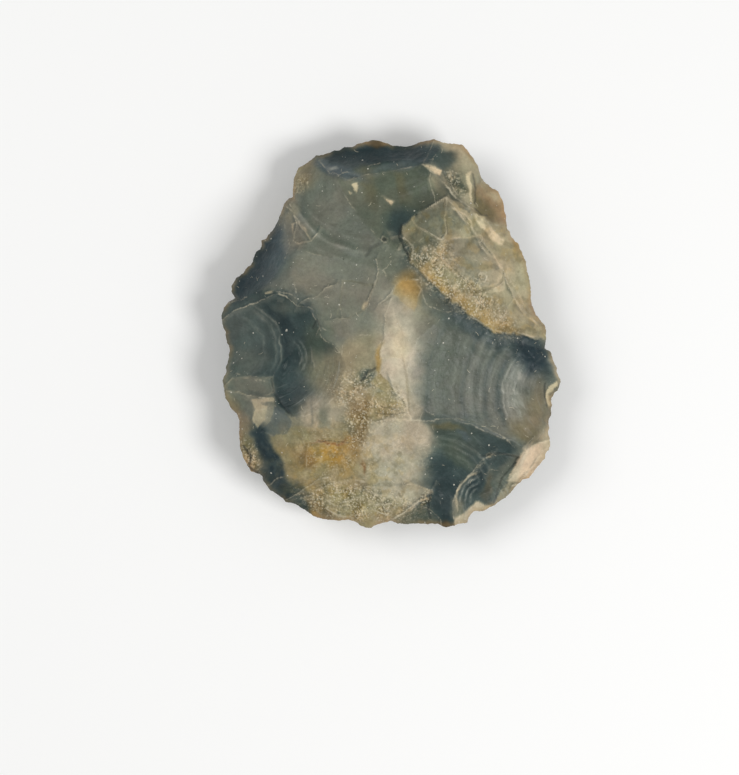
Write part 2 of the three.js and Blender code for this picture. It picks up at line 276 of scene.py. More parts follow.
# Patches of the upper face, laid over each other in this order: x, y, half length, half width,
# heading in degrees, colour, softness of the border, strength, and the side of the plateau's border
# that they keep to (1 on it, -1 off it, 0 both).
PATCHES = (
    # upper left and crown
    (-12.9, 23.1, 11.9, 10.3, 0, "grey", 0.5, 0.4, 0),
    (-7, 27.4, 3, 2.4, 0, "warm_grey", 0.6, 0.55, 0),
    (-7.3, 7.6, 8.8, 7.7, -50, "grey", 0.5, 0.35, -1),
    # upper middle, and the deep corner beside the plateau, whose slate is painted shade at the foot of the
    # plateau's step
    (7.2, 25.2, 4.6, 2.3, 35, "dark_olive", 0.5, 0.8, -1),
    (2.3, 20.8, 3.1, 3.1, 45, "slate", 0.6, 0.9, -1),
    (3.6, 14.8, 1.5, 3.1, -20, "slate", 0.6, 0.6, -1),
    # olive waves
    (-4.2, 28.2, 1.1, 3.6, 10, "brown_olive", 0.7, 0.45, 0),
    (2.3, 28.8, 1, 3.1, 10, "brown_olive", 0.7, 0.5, 0),
    # top bite: dark floor, painted sheen of light low on the left, a painted glint, painted sheen low on
    # the right, and the brown rim
    (-4.2, 35.2, 12.4, 2.5, -4, "deep_slate", 0.5, 0.7, 0),
    (-10.9, 31.9, 6.2, 1.3, -22, "blue_grey", 0.5, 0.8, 0),
    (-11.1, 32.3, 0.8, 0.4, 0, "silver", 0.7, 0.7, 0),
    (2, 32.4, 6.2, 0.9, 12, "blue_grey", 0.6, 0.6, 0),
    (-2.6, 37.4, 4.1, 0.7, -3, "umber", 0.7, 0.7, 0),
    # left shoulder
    (-16.8, 30.8, 2.1, 3.6, -30, "brown_grey", 0.6, 0.6, 0),
    (-18.8, 29.6, 1.4, 2.4, -30, "tan_grey", 0.6, 0.6, 0),
    # top right: rim, facets, channel and shoulder
    (15.4, 34.4, 2.6, 3.1, -35, "sand", 0.6, 0.65, 0),
    (9.8, 33.2, 2.6, 3, -10, "slate", 0.5, 0.75, 0),
    (10.8, 37, 3.4, 1.4, -10, "sand", 0.6, 0.85, 0),
    (13.4, 27.2, 2.1, 4.1, 25, "dark_olive", 0.4, 0.6, -1),
    (15.5, 25.4, 1.2, 2.6, 35, "sand", 0.5, 0.7, 0),
    (17.7, 23.9, 1.5, 3.6, 30, "brown_olive", 0.6, 0.75, -1),
    (19.6, 28, 2.1, 2.6, 20, "brown_grey", 0.6, 0.6, 0),
    (20.4, 28, 3.2, 1.6, -50, "sand", 0.6, 0.8, 0),
    # plateau: peak, flank, west side, crystal band, ochre hems
    (9.8, 22.6, 4.6, 3.9, 30, "olive_grey", 0.4, 0.8, 1),
    (24.2, 11.7, 3.1, 11.3, 17, "khaki", 0.4, 0.7, 1),
    (5.6, 16.4, 2.4, 3.2, -50, "dark_olive", 0.5, 0.6, 1),
    (13.9, 7.6, 10.8, 2.6, -37, "khaki", 0.45, 0.6, 1),
    (21.8, 10.4, 5.7, 3.1, -40, "sand", 0.5, 0.6, 1),
    (25.7, 14.8, 2.6, 5.7, 20, "sand", 0.5, 0.45, 1),
    (13.6, 24.7, 3.1, 1.8, -30, "sand", 0.5, 0.6, 1),
    (8.8, 13.2, 3.9, 3.1, -60, "khaki", 0.6, 0.5, 1),
    (19, 1.9, 6.7, 1.3, -33, "ochre", 0.7, 0.6, 1),
    (8.2, 10.2, 4.6, 1, -42, "ochre", 0.8, 0.6, 1),
    (5.2, 14.5, 1.6, 2.6, -30, "dark_olive", 0.6, 0.7, 1),
    (23.9, 17.9, 0.6, 3.1, 15, "ochre", 0.8, 0.5, 0),
    # crown, beside the plateau
    (3.6, 8.4, 2.8, 3.2, 0, "ochre", 0.5, 0.65, -1),
    (5.1, 4.5, 3.1, 2.6, 0, "sand_grey", 0.7, 0.5, -1),
    (-0.6, 12.8, 3.1, 3.1, 0, "olive_grey", 0.7, 0.5, -1),
    # upper left edge
    (-25.1, 14.8, 2.6, 9.8, -35, "deep_blue", 0.35, 0.95, 0),
    (-20.7, 16.4, 2.6, 7.2, -20, "blue_grey", 0.6, 0.5, 0),
    (-18.7, 18.7, 2.1, 3.1, -20, "warm_grey", 0.5, 0.7, 0),
    (-19.6, 23, 1.2, 2.6, -20, "tan_grey", 0.6, 0.6, 0),
    # left hollow and notch
    (-28.4, 1.4, 4.1, 4.6, 0, "ripple_grey", 0.6, 0.5, 0),
    (-17.6, 1.9, 3.9, 5.7, 25, "slate", 0.45, 0.85, 0),
    (-20.5, 3.2, 0.9, 3.4, 25, "deep_slate", 0.5, 0.6, 0),
    (-19.6, 5.3, 3.1, 1.5, 10, "grey_green", 0.6, 0.7, 0),
    (-28.4, -5.3, 4.1, 3.1, 0, "grey_green", 0.5, 0.7, 0),
    (-18.1, -7.3, 4.6, 4.6, 20, "slate", 0.35, 0.8, 0),
    (-27.4, -10.2, 4.9, 1.9, 0, "grey", 0.3, 0.7, 0),
    # centre
    (-14, -0.6, 2.6, 3.6, 0, "olive", 0.6, 0.6, 0),
    (-10.9, -7.3, 5.7, 4.1, 10, "sand_grey", 0.5, 0.8, 0),
    (-5.2, -3.2, 4.6, 2.6, 35, "sand_grey", 0.6, 0.6, 0),
    # pale streak
    (2.1, -3.2, 3.9, 9.8, 8, "cream_grey", 0.6, 0.95, 0),
    (-1.9, -5.2, 0.5, 2.2, 0, "ochre", 0.8, 0.6, 0),
    (1, -2.7, 1.3, 4.1, 0, "cream", 0.8, 0.6, 0),
    (-1, 2.3, 1.5, 2.8, 0, "warm_grey", 0.6, 0.5, 0),
    (3, -12, 2.6, 5.7, 12, "beige", 0.5, 0.8, 0),
    # right hollow, with its dark border, rim and lip
    (7.2, -5.8, 2.6, 11.9, 0, "warm_grey", 0.8, 0.5, -1),
    (11.8, -8.9, 5.7, 10.3, 0, "hollow_grey", 0.5, 0.8, -1),
    (17.5, 2.7, 13.4, 3.6, -30, "steel", 0.5, 0.75, -1),
    (20.6, -0.6, 8.3, 2.1, -20, "slate", 0.6, 0.6, -1),
    (27.3, -4.2, 3.1, 4.6, 35, "deep_blue", 0.5, 0.95, -1),
    (29.1, -15.1, 2.2, 5.7, 5, "brown_grey", 0.6, 0.5, 0),
    (32.3, -6, 1.5, 2.6, 25, "cream_grey", 0.5, 0.7, 0),
    (32.5, -8, 0.9, 1.2, 0, "cream_grey", 0.5, 0.7, 0),
    (26, -19.2, 3.1, 2.1, -30, "brown_olive", 0.6, 0.9, 0),
    (24.7, -18.7, 4.1, 3.1, -30, "warm_grey", 0.6, 0.3, 0),
    (10.3, -5.8, 3.6, 6.7, 0, "olive", 0.8, 0.4, -1),
    (26.8, -15.1, 2.6, 3.1, 0, "brown_grey", 0.8, 0.45, 0),
    # lower right, and the inner scar
    (10.6, -31.6, 2.6, 6.7, 10, "deep_slate", 0.5, 0.52, 0),
    (12.3, -20.2, 5.2, 2.6, -20, "slate_olive", 0.6, 0.6, 0),
    (10.6, -17.8, 2.6, 0.7, -12, "brown_olive", 0.6, 0.7, 0),
    (13.9, -19.8, 1.8, 0.8, -30, "blue_grey", 0.6, 0.6, 0),
    (13, -23.8, 4.2, 1.4, -40, "olive", 0.6, 0.6, 0),
    (21.6, -24.9, 4.6, 2.1, -45, "slate", 0.5, 0.7, 0),
    (22.8, -26.4, 1.5, 4.6, -25, "grey", 0.5, 0.85, 0),
    (19, -29.8, 0.7, 2.8, -18, "umber", 0.7, 0.35, 0),
    (16.6, -28.6, 1.6, 3.2, -30, "deep_slate", 0.5, 0.7, 0),
    (13.2, -34.2, 1.5, 1.7, 0, "tan_grey", 0.5, 0.6, 0),
    (11.3, -37, 2.3, 0.8, 0, "umber", 0.6, 0.7, 0),
    # foot facet
    (1, -23.3, 3.6, 4.1, 0, "pale_beige", 0.8, 0.5, 0),
    (0.9, -21.2, 7.2, 5, 0, "beige", 0.3, 0.85, 0),
    (0.2, -27.6, 7, 5.2, 0, "beige", 0.3, 0.85, 0),
    (5.2, -18.7, 2.9, 2.4, 0, "beige", 0.4, 0.9, 0),
    # tan and ochre foot
    (-11.4, -15.1, 6.2, 4.1, 0, "tan_grey", 0.5, 0.6, 0),
    (-13.5, -25.9, 9.8, 7.7, -25, "dun", 0.45, 0.75, 0),
    (-10.9, -23.3, 4.4, 2.3, 10, "ochre", 0.6, 0.85, 0),
    (-16, -23.3, 2.6, 2.1, 0, "ochre_dun", 0.7, 0.5, 0),
    (-16, -24.4, 1.7, 1.9, 0, "umber_tan", 0.6, 0.85, 0),
    (-11.4, -20.8, 3.4, 0.18, 0, "rust", 0.7, 0.55, 0),
    (-5.2, -25.9, 0.2, 1.5, 0, "rust", 0.7, 0.5, 0),
    # brown seam and grey ripple patch
    (-6, -15.6, 2, 7.2, -4, "umber_tan", 0.5, 0.85, 0),
    (-13.5, -15.1, 3.9, 3.6, -10, "cream_grey", 0.45, 0.5, 0),
    (-12.9, -16.1, 1, 2.1, 0, "slate_olive", 0.6, 0.45, 0),
    (-7.3, -10.4, 4.1, 3.1, 20, "sand_grey", 0.5, 0.7, 0),
    (-4.7, -8.1, 1.5, 1.4, 30, "slate", 0.6, 0.7, 0),
    # lower left: valley, rim, chip, nodules
    (-23.5, -23.6, 1.6, 7.6, 26, "deep_blue", 0.45, 0.95, 0),
    (-17.8, -31.8, 4.6, 1.7, -42, "deep_slate", 0.5, 0.85, 0),
    (-30, -17.6, 2.1, 5.7, 20, "brown_grey", 0.5, 0.8, 0),
    (-24.9, -15.6, 1.9, 2.3, 0, "beige", 0.4, 0.6, 0),
    (-27.6, -23.8, 2.2, 3.9, 20, "brown_olive", 0.4, 0.85, 0),
    # rough foot and its rim
    (-7.3, -33.1, 10.3, 2.6, -8, "dun", 0.35, 0.7, 0),
    (-4.2, -36.5, 5.7, 1.4, 0, "dun", 0.5, 0.8, 0),
    (-14.5, -34.1, 4.6, 1.3, -25, "umber_tan", 0.5, 0.7, 0),
    (-18.8, -33.2, 3.8, 1.5, -38, "deep_slate", 0.5, 0.9, 0),
    (-23.4, -29.6, 2, 3.4, 30, "deep_blue", 0.5, 0.85, 0),
    (-14.6, -35.2, 1.6, 0.6, -38, "ochre", 0.6, 0.7, 0),
)

# Bands that follow the ripples, by the point that they run round: x, y, then for each band its
# radius, half width, first and last direction in degrees, colour, strength. The pale bands are a
# painted sheen of light on the ripples and the dark ones painted shade between them, with a little of
# the stone's own banding.
RIPPLE_SHEEN_AND_SHADE_BANDS = (
    (33.5, -11.8, (  # right hollow
        (11.9, 0.25, 134, 215, "silver", 0.9),
        (11, 0.6, 136, 214, "silver", 0.6),
        (9.6, 1, 140, 214, "silver", 0.85),
        (8.2, 0.5, 146, 210, "silver", 0.5),
        (12.9, 0.6, 132, 215, "slate", 0.7),
        (14.4, 0.5, 132, 208, "ripple_light", 0.55),
        (15.5, 0.45, 132, 205, "slate", 0.45),
        (16.5, 0.4, 132, 204, "ripple_light", 0.5),
        (18.4, 0.6, 134, 200, "ripple_light", 0.6),
        (19.8, 0.5, 136, 200, "slate", 0.4),
        (21.6, 0.4, 140, 195, "ripple_light", 0.35),
        (25, 0.5, 145, 190, "ripple_light", 0.35),
        (26.6, 0.5, 148, 190, "slate", 0.3),
    )),
    (-30.7, -3.2, (  # left hollow
        (9.7, 0.24, -25, 75, "ripple_light", 0.87),
        (8.7, 0.41, -30, 70, "ripple_light", 0.65),
        (6.3, 0.4, -20, 80, "ripple_light", 0.43),
        (10.7, 0.7, -30, 60, "deep_slate", 0.87),
    )),
    (-3.1, 32.9, (  # upper left
        (17.7, 0.26, 205, 268, "silver", 0.72),
        (16.8, 0.52, 205, 268, "slate_olive", 0.51),
        (15.5, 0.21, 212, 262, "silver", 0.36),
        (19.9, 0.31, 215, 262, "silver", 0.29),
    )),
    (7.7, -33.1, (  # lower right
        (13.3, 0.26, 25, 95, "ripple_light", 0.58),
        (12, 0.21, 20, 90, "ripple_light", 0.51),
        (10.6, 0.21, 15, 80, "ripple_light", 0.43),
    )),
    (18.6, -32.6, (  # inner scar
        (6, 0.21, 100, 200, "cream", 1),
        (5.1, 0.21, 100, 195, "silver", 0.8),
        (4.1, 0.21, 110, 190, "silver", 0.72),
        (3.2, 0.21, 120, 190, "silver", 0.58),
    )),
    (-23.2, -4.8, (  # inner left hollow
        (6.7, 0.26, -25, 35, "silver", 0.58),
        (5.7, 0.21, -20, 40, "silver", 0.51),
    )),
    (-19.1, -15.6, (  # grey ripple patch
        (5.2, 0.26, -35, 35, "pale_beige", 0.58),
        (4.1, 0.26, -35, 35, "slate", 0.43),
    )),
)
BAND_FADE = (0.6, 1.1)  # part of a band's half turn over which its ends fade
BAND_SHARES = (0.62, 0.3, 0.45)  # even part of a band, its clouds and its strands
BAND_CLOUD = 2.0  # size of the clouds
STRAND_WIDTH = 0.24
STRAND_TURN = 11.0  # degrees that a strand runs along its band

# Thin pale arrises, cracks and veins of the upper face: half width, strength, points. The pale line is
# a painted highlight where it lies on an arris, crest or rim, and the stone's own pale vein where it is
# a crack or vein.
SEAMS = (
    (0.15, 0.35,  # bite lip
        ((-14, 33.7), (-11.9, 31.1), (-8.3, 29.5), (-5.2, 30.6), (0, 31.3), (6.1, 32.6), (8.5, 37.3))),
    (0.21, 0.8,  # facet divide
        ((6.1, 32.6), (9.2, 30), (11, 28.2), (12.1, 26.7), (13.6, 25.4), (15.7, 24))),
    (0.15, 0.6, ((9.5, 30), (11.6, 29), (12.6, 27), (14.9, 24.4))),  # facet divide low
    (0.15, 0.8,  # plateau crest
        ((5.1, 22.8), (7.7, 24.4), (10.8, 26.2), (13.4, 22.6), (17, 18.4), (19.6, 15.4), (21.9, 12),
         (22.4, 9.7), (23.9, 6.8), (25.7, 3.9), (28.1, 2.2))),
    (0.13, 0.5, ((11.8, 24.1), (14.7, 22.6), (17.2, 16.9), (18.5, 15.9))),  # plateau crest inner
    (0.13, 0.6, ((10.8, 26.2), (10.3, 22.6), (10.7, 19.2), (9.8, 17.9))),  # peak seam
    (0.18, 0.45,  # plateau hem
        ((4.1, 21.8), (2.3, 20.8), (2.1, 18.7), (4.3, 16.4), (3.8, 13.8), (4.9, 12.5), (6.9, 10.7),
         (9.2, 8.4), (13.4, 5), (16.5, 2.5), (19.6, 0.4), (22.6, 0.1), (25.7, -0.1), (28.8, -1.3),
         (30.5, -0.6))),
    (0.21, 0.7, ((4.1, 21.8), (5.6, 20), (7.7, 19), (9.5, 17.9))),  # west tongue
    (0.13, 0.4,  # island foot
        ((13.4, 10.5), (17, 7.8), (18.8, 8.1), (21.6, 9.7), (22, 11.7), (21.2, 12.8))),
    (0.13, 0.7, ((21.2, 12.8), (20.1, 13.8), (17.5, 16.4))),  # island side
    (0.13, 0.5, ((23.9, 6.8), (22.4, 5), (21.6, 2.5))),  # flank seam
    (0.15, 0.7,  # chip crack
        ((-19.6, 25.2), (-18.2, 21.5), (-18.9, 17.9), (-17.6, 17.2), (-15.3, 17.9), (-14.1, 19.4))),
    (0.13, 0.6, ((-18.4, 21.8), (-16.8, 20), (-15.3, 17.9))),  # chip crack inner
    (0.13, 0.5, ((-21.1, 25.6), (-19.1, 23.6), (-17.6, 21.5))),  # left crest
    (0.15, 0.6,  # left hollow head
        ((-32.9, 2.5), (-30.5, 4.4), (-25.8, 6), (-24, 6.8), (-22, 7.6), (-20.1, 7), (-18.1, 5.2),
         (-15.5, 5), (-14.2, 3.8))),
    (0.13, 0.5, ((-18.1, 5.2), (-16.3, 6.5), (-14, 7.1), (-12.7, 8.5), (-10.6, 9.3))),  # arch
    (0.1, 0.35, ((-14.2, 3.8), (-13.2, 5), (-12.4, 6.6))),  # arch low
    (0.13, 0.4,  # inner hollow rim
        ((-14.2, 3.8), (-13.6, 1.2), (-15, -1.7), (-15.3, -3.2), (-14.7, -6.6))),
    (0.1, 0.4, ((-12.7, 2.2), (-10.4, 2.6), (-8.3, 2.8))),  # middle seam
    (0.1, 0.25, ((-9.3, 10.2), (-9.8, 5.6), (-9.3, 2.5))),  # middle fall
    (0.15, 0.5, ((-2.9, 14.1), (-2.4, 11.7), (-3.1, 9.2), (-4.3, 6.6), (-4.9, 4.5))),  # centre crack
    (0.15, 0.7, ((1.1, 9.7), (0, 7.6), (-1.3, 6.3), (-2.6, 5.3))),  # crown ridge
    (0.15, 0.7, ((1.1, 9.5), (3, 10.2), (5.1, 10.2))),  # crown hook
    (0.15, 0.5,  # streak west
        ((0, 6.6), (-1.1, 3.5), (-1.3, -0.6), (-2, -4.2), (-2.6, -7.3), (-3.9, -9.7))),
    (0.15, 0.7, ((-0.6, -7.3), (0.6, -10.9), (2.5, -12.9), (3.3, -15.1), (3.8, -16.6))),  # streak east
    (0.15, 0.5, ((-3.1, -17.1), (0, -16.4), (3.8, -16.7), (8.3, -16.9))),  # foot facet head
    (0.15, 0.5, ((-5.2, -29.5), (0, -29.8), (3.6, -29.1), (7.7, -30.4))),  # foot facet foot
    (0.26, 0.9, ((7.7, -30.4), (5.1, -32.6), (2.3, -34.9), (0, -36.3))),  # bluff edge
    (0.15, 0.45,  # lower right head
        ((8.5, -16.5), (12.8, -16.4), (17.5, -17.6), (21.6, -19.8), (25.2, -23.3))),
    (0.31, 1, ((26.5, -22.4), (25, -25.4), (23.2, -28.2))),  # edge facet west
    (0.15, 0.7, ((25.2, -23.3), (27.8, -21.5), (31.2, -20.6))),  # edge facet head
    (0.15, 0.6,  # inner scar rim
        ((12.3, -36.2), (11.9, -33.1), (12.9, -30), (15.4, -27.4), (17.5, -24.6), (19.8, -23.2))),
    (0.13, 0.5, ((-32.3, -10.2), (-30.6, -8.5), (-26.9, -8.3), (-22.8, -8.4))),  # notch head
    (0.13, 0.6, ((-32, -11), (-28.9, -11.7), (-25.3, -12.4), (-22.5, -12.5))),  # notch foot
    (0.15, 0.5, ((-21.2, -32.7), (-18.1, -31), (-14, -28.2), (-9.3, -26.9))),  # foot crack
    (0.15, 0.6,  # foot crack low
        ((-16.8, -31.7), (-14, -31), (-11.6, -32.9), (-9.3, -34.1), (-6.7, -34))),
    (0.15, 0.6, ((-10.4, -10.9), (-8.3, -9.7), (-5.2, -10.9), (-3.1, -10.2))),  # rough crest
    (0.15, 0.9, ((26, -28), (28.6, -24.1), (31.4, -20.7))),  # edge facet strand
    (0.1, 0.7, ((25, -28.7), (27.3, -25.9), (29.3, -23.3))),  # edge facet strand two
    (0.15, 0.6, ((27.3, -27.4), (30.4, -23.3), (32.2, -20))),  # edge facet strand three
    (0.21, 0.8, ((23.7, -29.5), (27.8, -28.7), (29.9, -25.9), (32.4, -21.3))),  # edge facet strand four
    (0.21, 0.6, ((-14.5, -30.3), (-11.4, -29), (-7.3, -28), (-5.2, -28.7))),  # rough foot crest
    (0.21, 0.8, ((-9.3, -32.6), (-5.7, -31.6), (-3.1, -33.1), (0, -32.9))),  # rough foot crest two
    (0.21, 0.8, ((-7.3, -35.2), (-3.7, -34.1), (-0.6, -35.2))),  # rough foot crest three
    (0.21, 0.7, ((-5.2, -30), (-2.6, -31.3), (0, -31.1))),  # rough foot crest four
    (0.21, 0.7, ((-12.7, -33.6), (-10.4, -35.2), (-7.3, -35.7))),  # rough foot crest five
    (0.15, 0.9,  # island crystal ring
        ((16.9, 11.2), (17.7, 11.7), (18.5, 11), (18, 9.9), (17, 10.2), (16.9, 11.2))),
    (0.15, 0.95,  # pit ring
        ((-2, 17.9), (-1.5, 18.6), (-0.8, 18.3), (-0.7, 17.6), (-1.4, 17.3), (-2, 17.9))),
    (0.31, 0.9, ((0, 18.3), (1.5, 18.7), (2.3, 18.3))),  # pit tail
)

# Dark cracks and undercuts: half width, strength, points. Their dark is painted shade in these sunken
# lines and in the pit.
CRACKS = (
    (0.21, 0.8, ((2, 20.8), (1.5, 18.4), (2.8, 15.9), (3.6, 13.8))),  # corner crack
    (0.35, 0.45, ((-4.7, 14.8), (-3.8, 16.5), (-2.4, 17))),  # crown crack
    (0.21, 0.6, ((25, -23.9), (21.6, -28), (20, -32.9))),  # wedge crack
    (0.26, 0.6, ((17.5, -23.8), (20.6, -23.1), (24.7, -23.8))),  # inner crack
    (0.31, 0.7, ((7.7, -30.5), (7.3, -33.6), (7.7, -35.7))),  # foot crack dark
    (0.26, 0.8, ((-5.7, -9.1), (-4.3, -7.4), (-3.1, -6.8))),  # nick crack
    (0.21, 0.6, ((-23, -8.9), (-22.6, -11.2), (-20.7, -14), (-19.1, -15.8))),  # hollow crack
    (0.21, 0.6, ((-13.5, 1.4), (-14.2, 2.5), (-15.1, 0.9))),  # hollow tooth
    (0.21, 0.8, ((29.9, -9.7), (29.8, -12), (30.3, -14))),  # rim crescent crack
    (0.26, 0.8, ((-28.4, -21.8), (-27.1, -23.8), (-27.6, -25.9), (-25.8, -26.9))),  # nodule crack
    (0.21, 0.6, ((-29.4, -23.3), (-28.4, -25.1), (-26.6, -26.4))),  # nodule crack two
    (0.15, 0.5, ((-3.1, -15.3), (0, -15.6), (3, -15.3))),  # flake line
    (0.15, 0.4, ((-2.6, -14), (1, -14.5))),  # flake line two
    (0.41, 0.9, ((-1.5, 18), (-1.2, 18))),  # pit
    (0.21, 0.6, ((16.2, 24.1), (17.7, 22.8), (18.5, 22.8))),  # shoulder crack
    (0.21, 0.6, ((15.9, 30.8), (16.4, 28.2), (16.2, 25.2))),  # sliver crack
    (0.15, 0.5, ((10.5, 22.3), (10.9, 19))),  # plateau crack
    (0.15, 0.5, ((-14, -20.8), (-11.4, -20.6), (-8, -21.1))),  # rust crack
    (0.15, 0.4, ((0, 6.8), (-1.8, 5.6))),  # crown line
)
LINE_FAR = 9.0  # half widths at which a point is far from every line
SEAM_WIDTHS = (0.75, 0.55, 2.3)  # width of a seam, how far noise changes it, and the noise's size
SEAM_CLOUDS = (4, -0.75, 0.35)  # noise that breaks the seams: size, and where they begin and are full
SEAM_LIFT = 0.16
SEAM_REACH = 2.6  # half widths over which a seam stands up
CRACK_DEPTH = 0.28
CRACK_REACH = (0.3, 2.0)  # half widths over which a crack's floor comes up again
# Each seam gets a painted highlight on its side towards the key light and painted shade on its far side.
LIT_SIDE = (0.9, -0.43)  # towards the key light
LIT_START = 0.12  # distance from a seam over which its lit and dark sides set in
LIT_HOLD = 0.1  # distance from which they fade again
PAINTED_LIT_TONE = ("pale_beige", 0.28, 0.9)  # colour, strength, and the distance at which it is gone
PAINTED_SHADE_TONE = ("deep_slate", 0.35, 0.54)
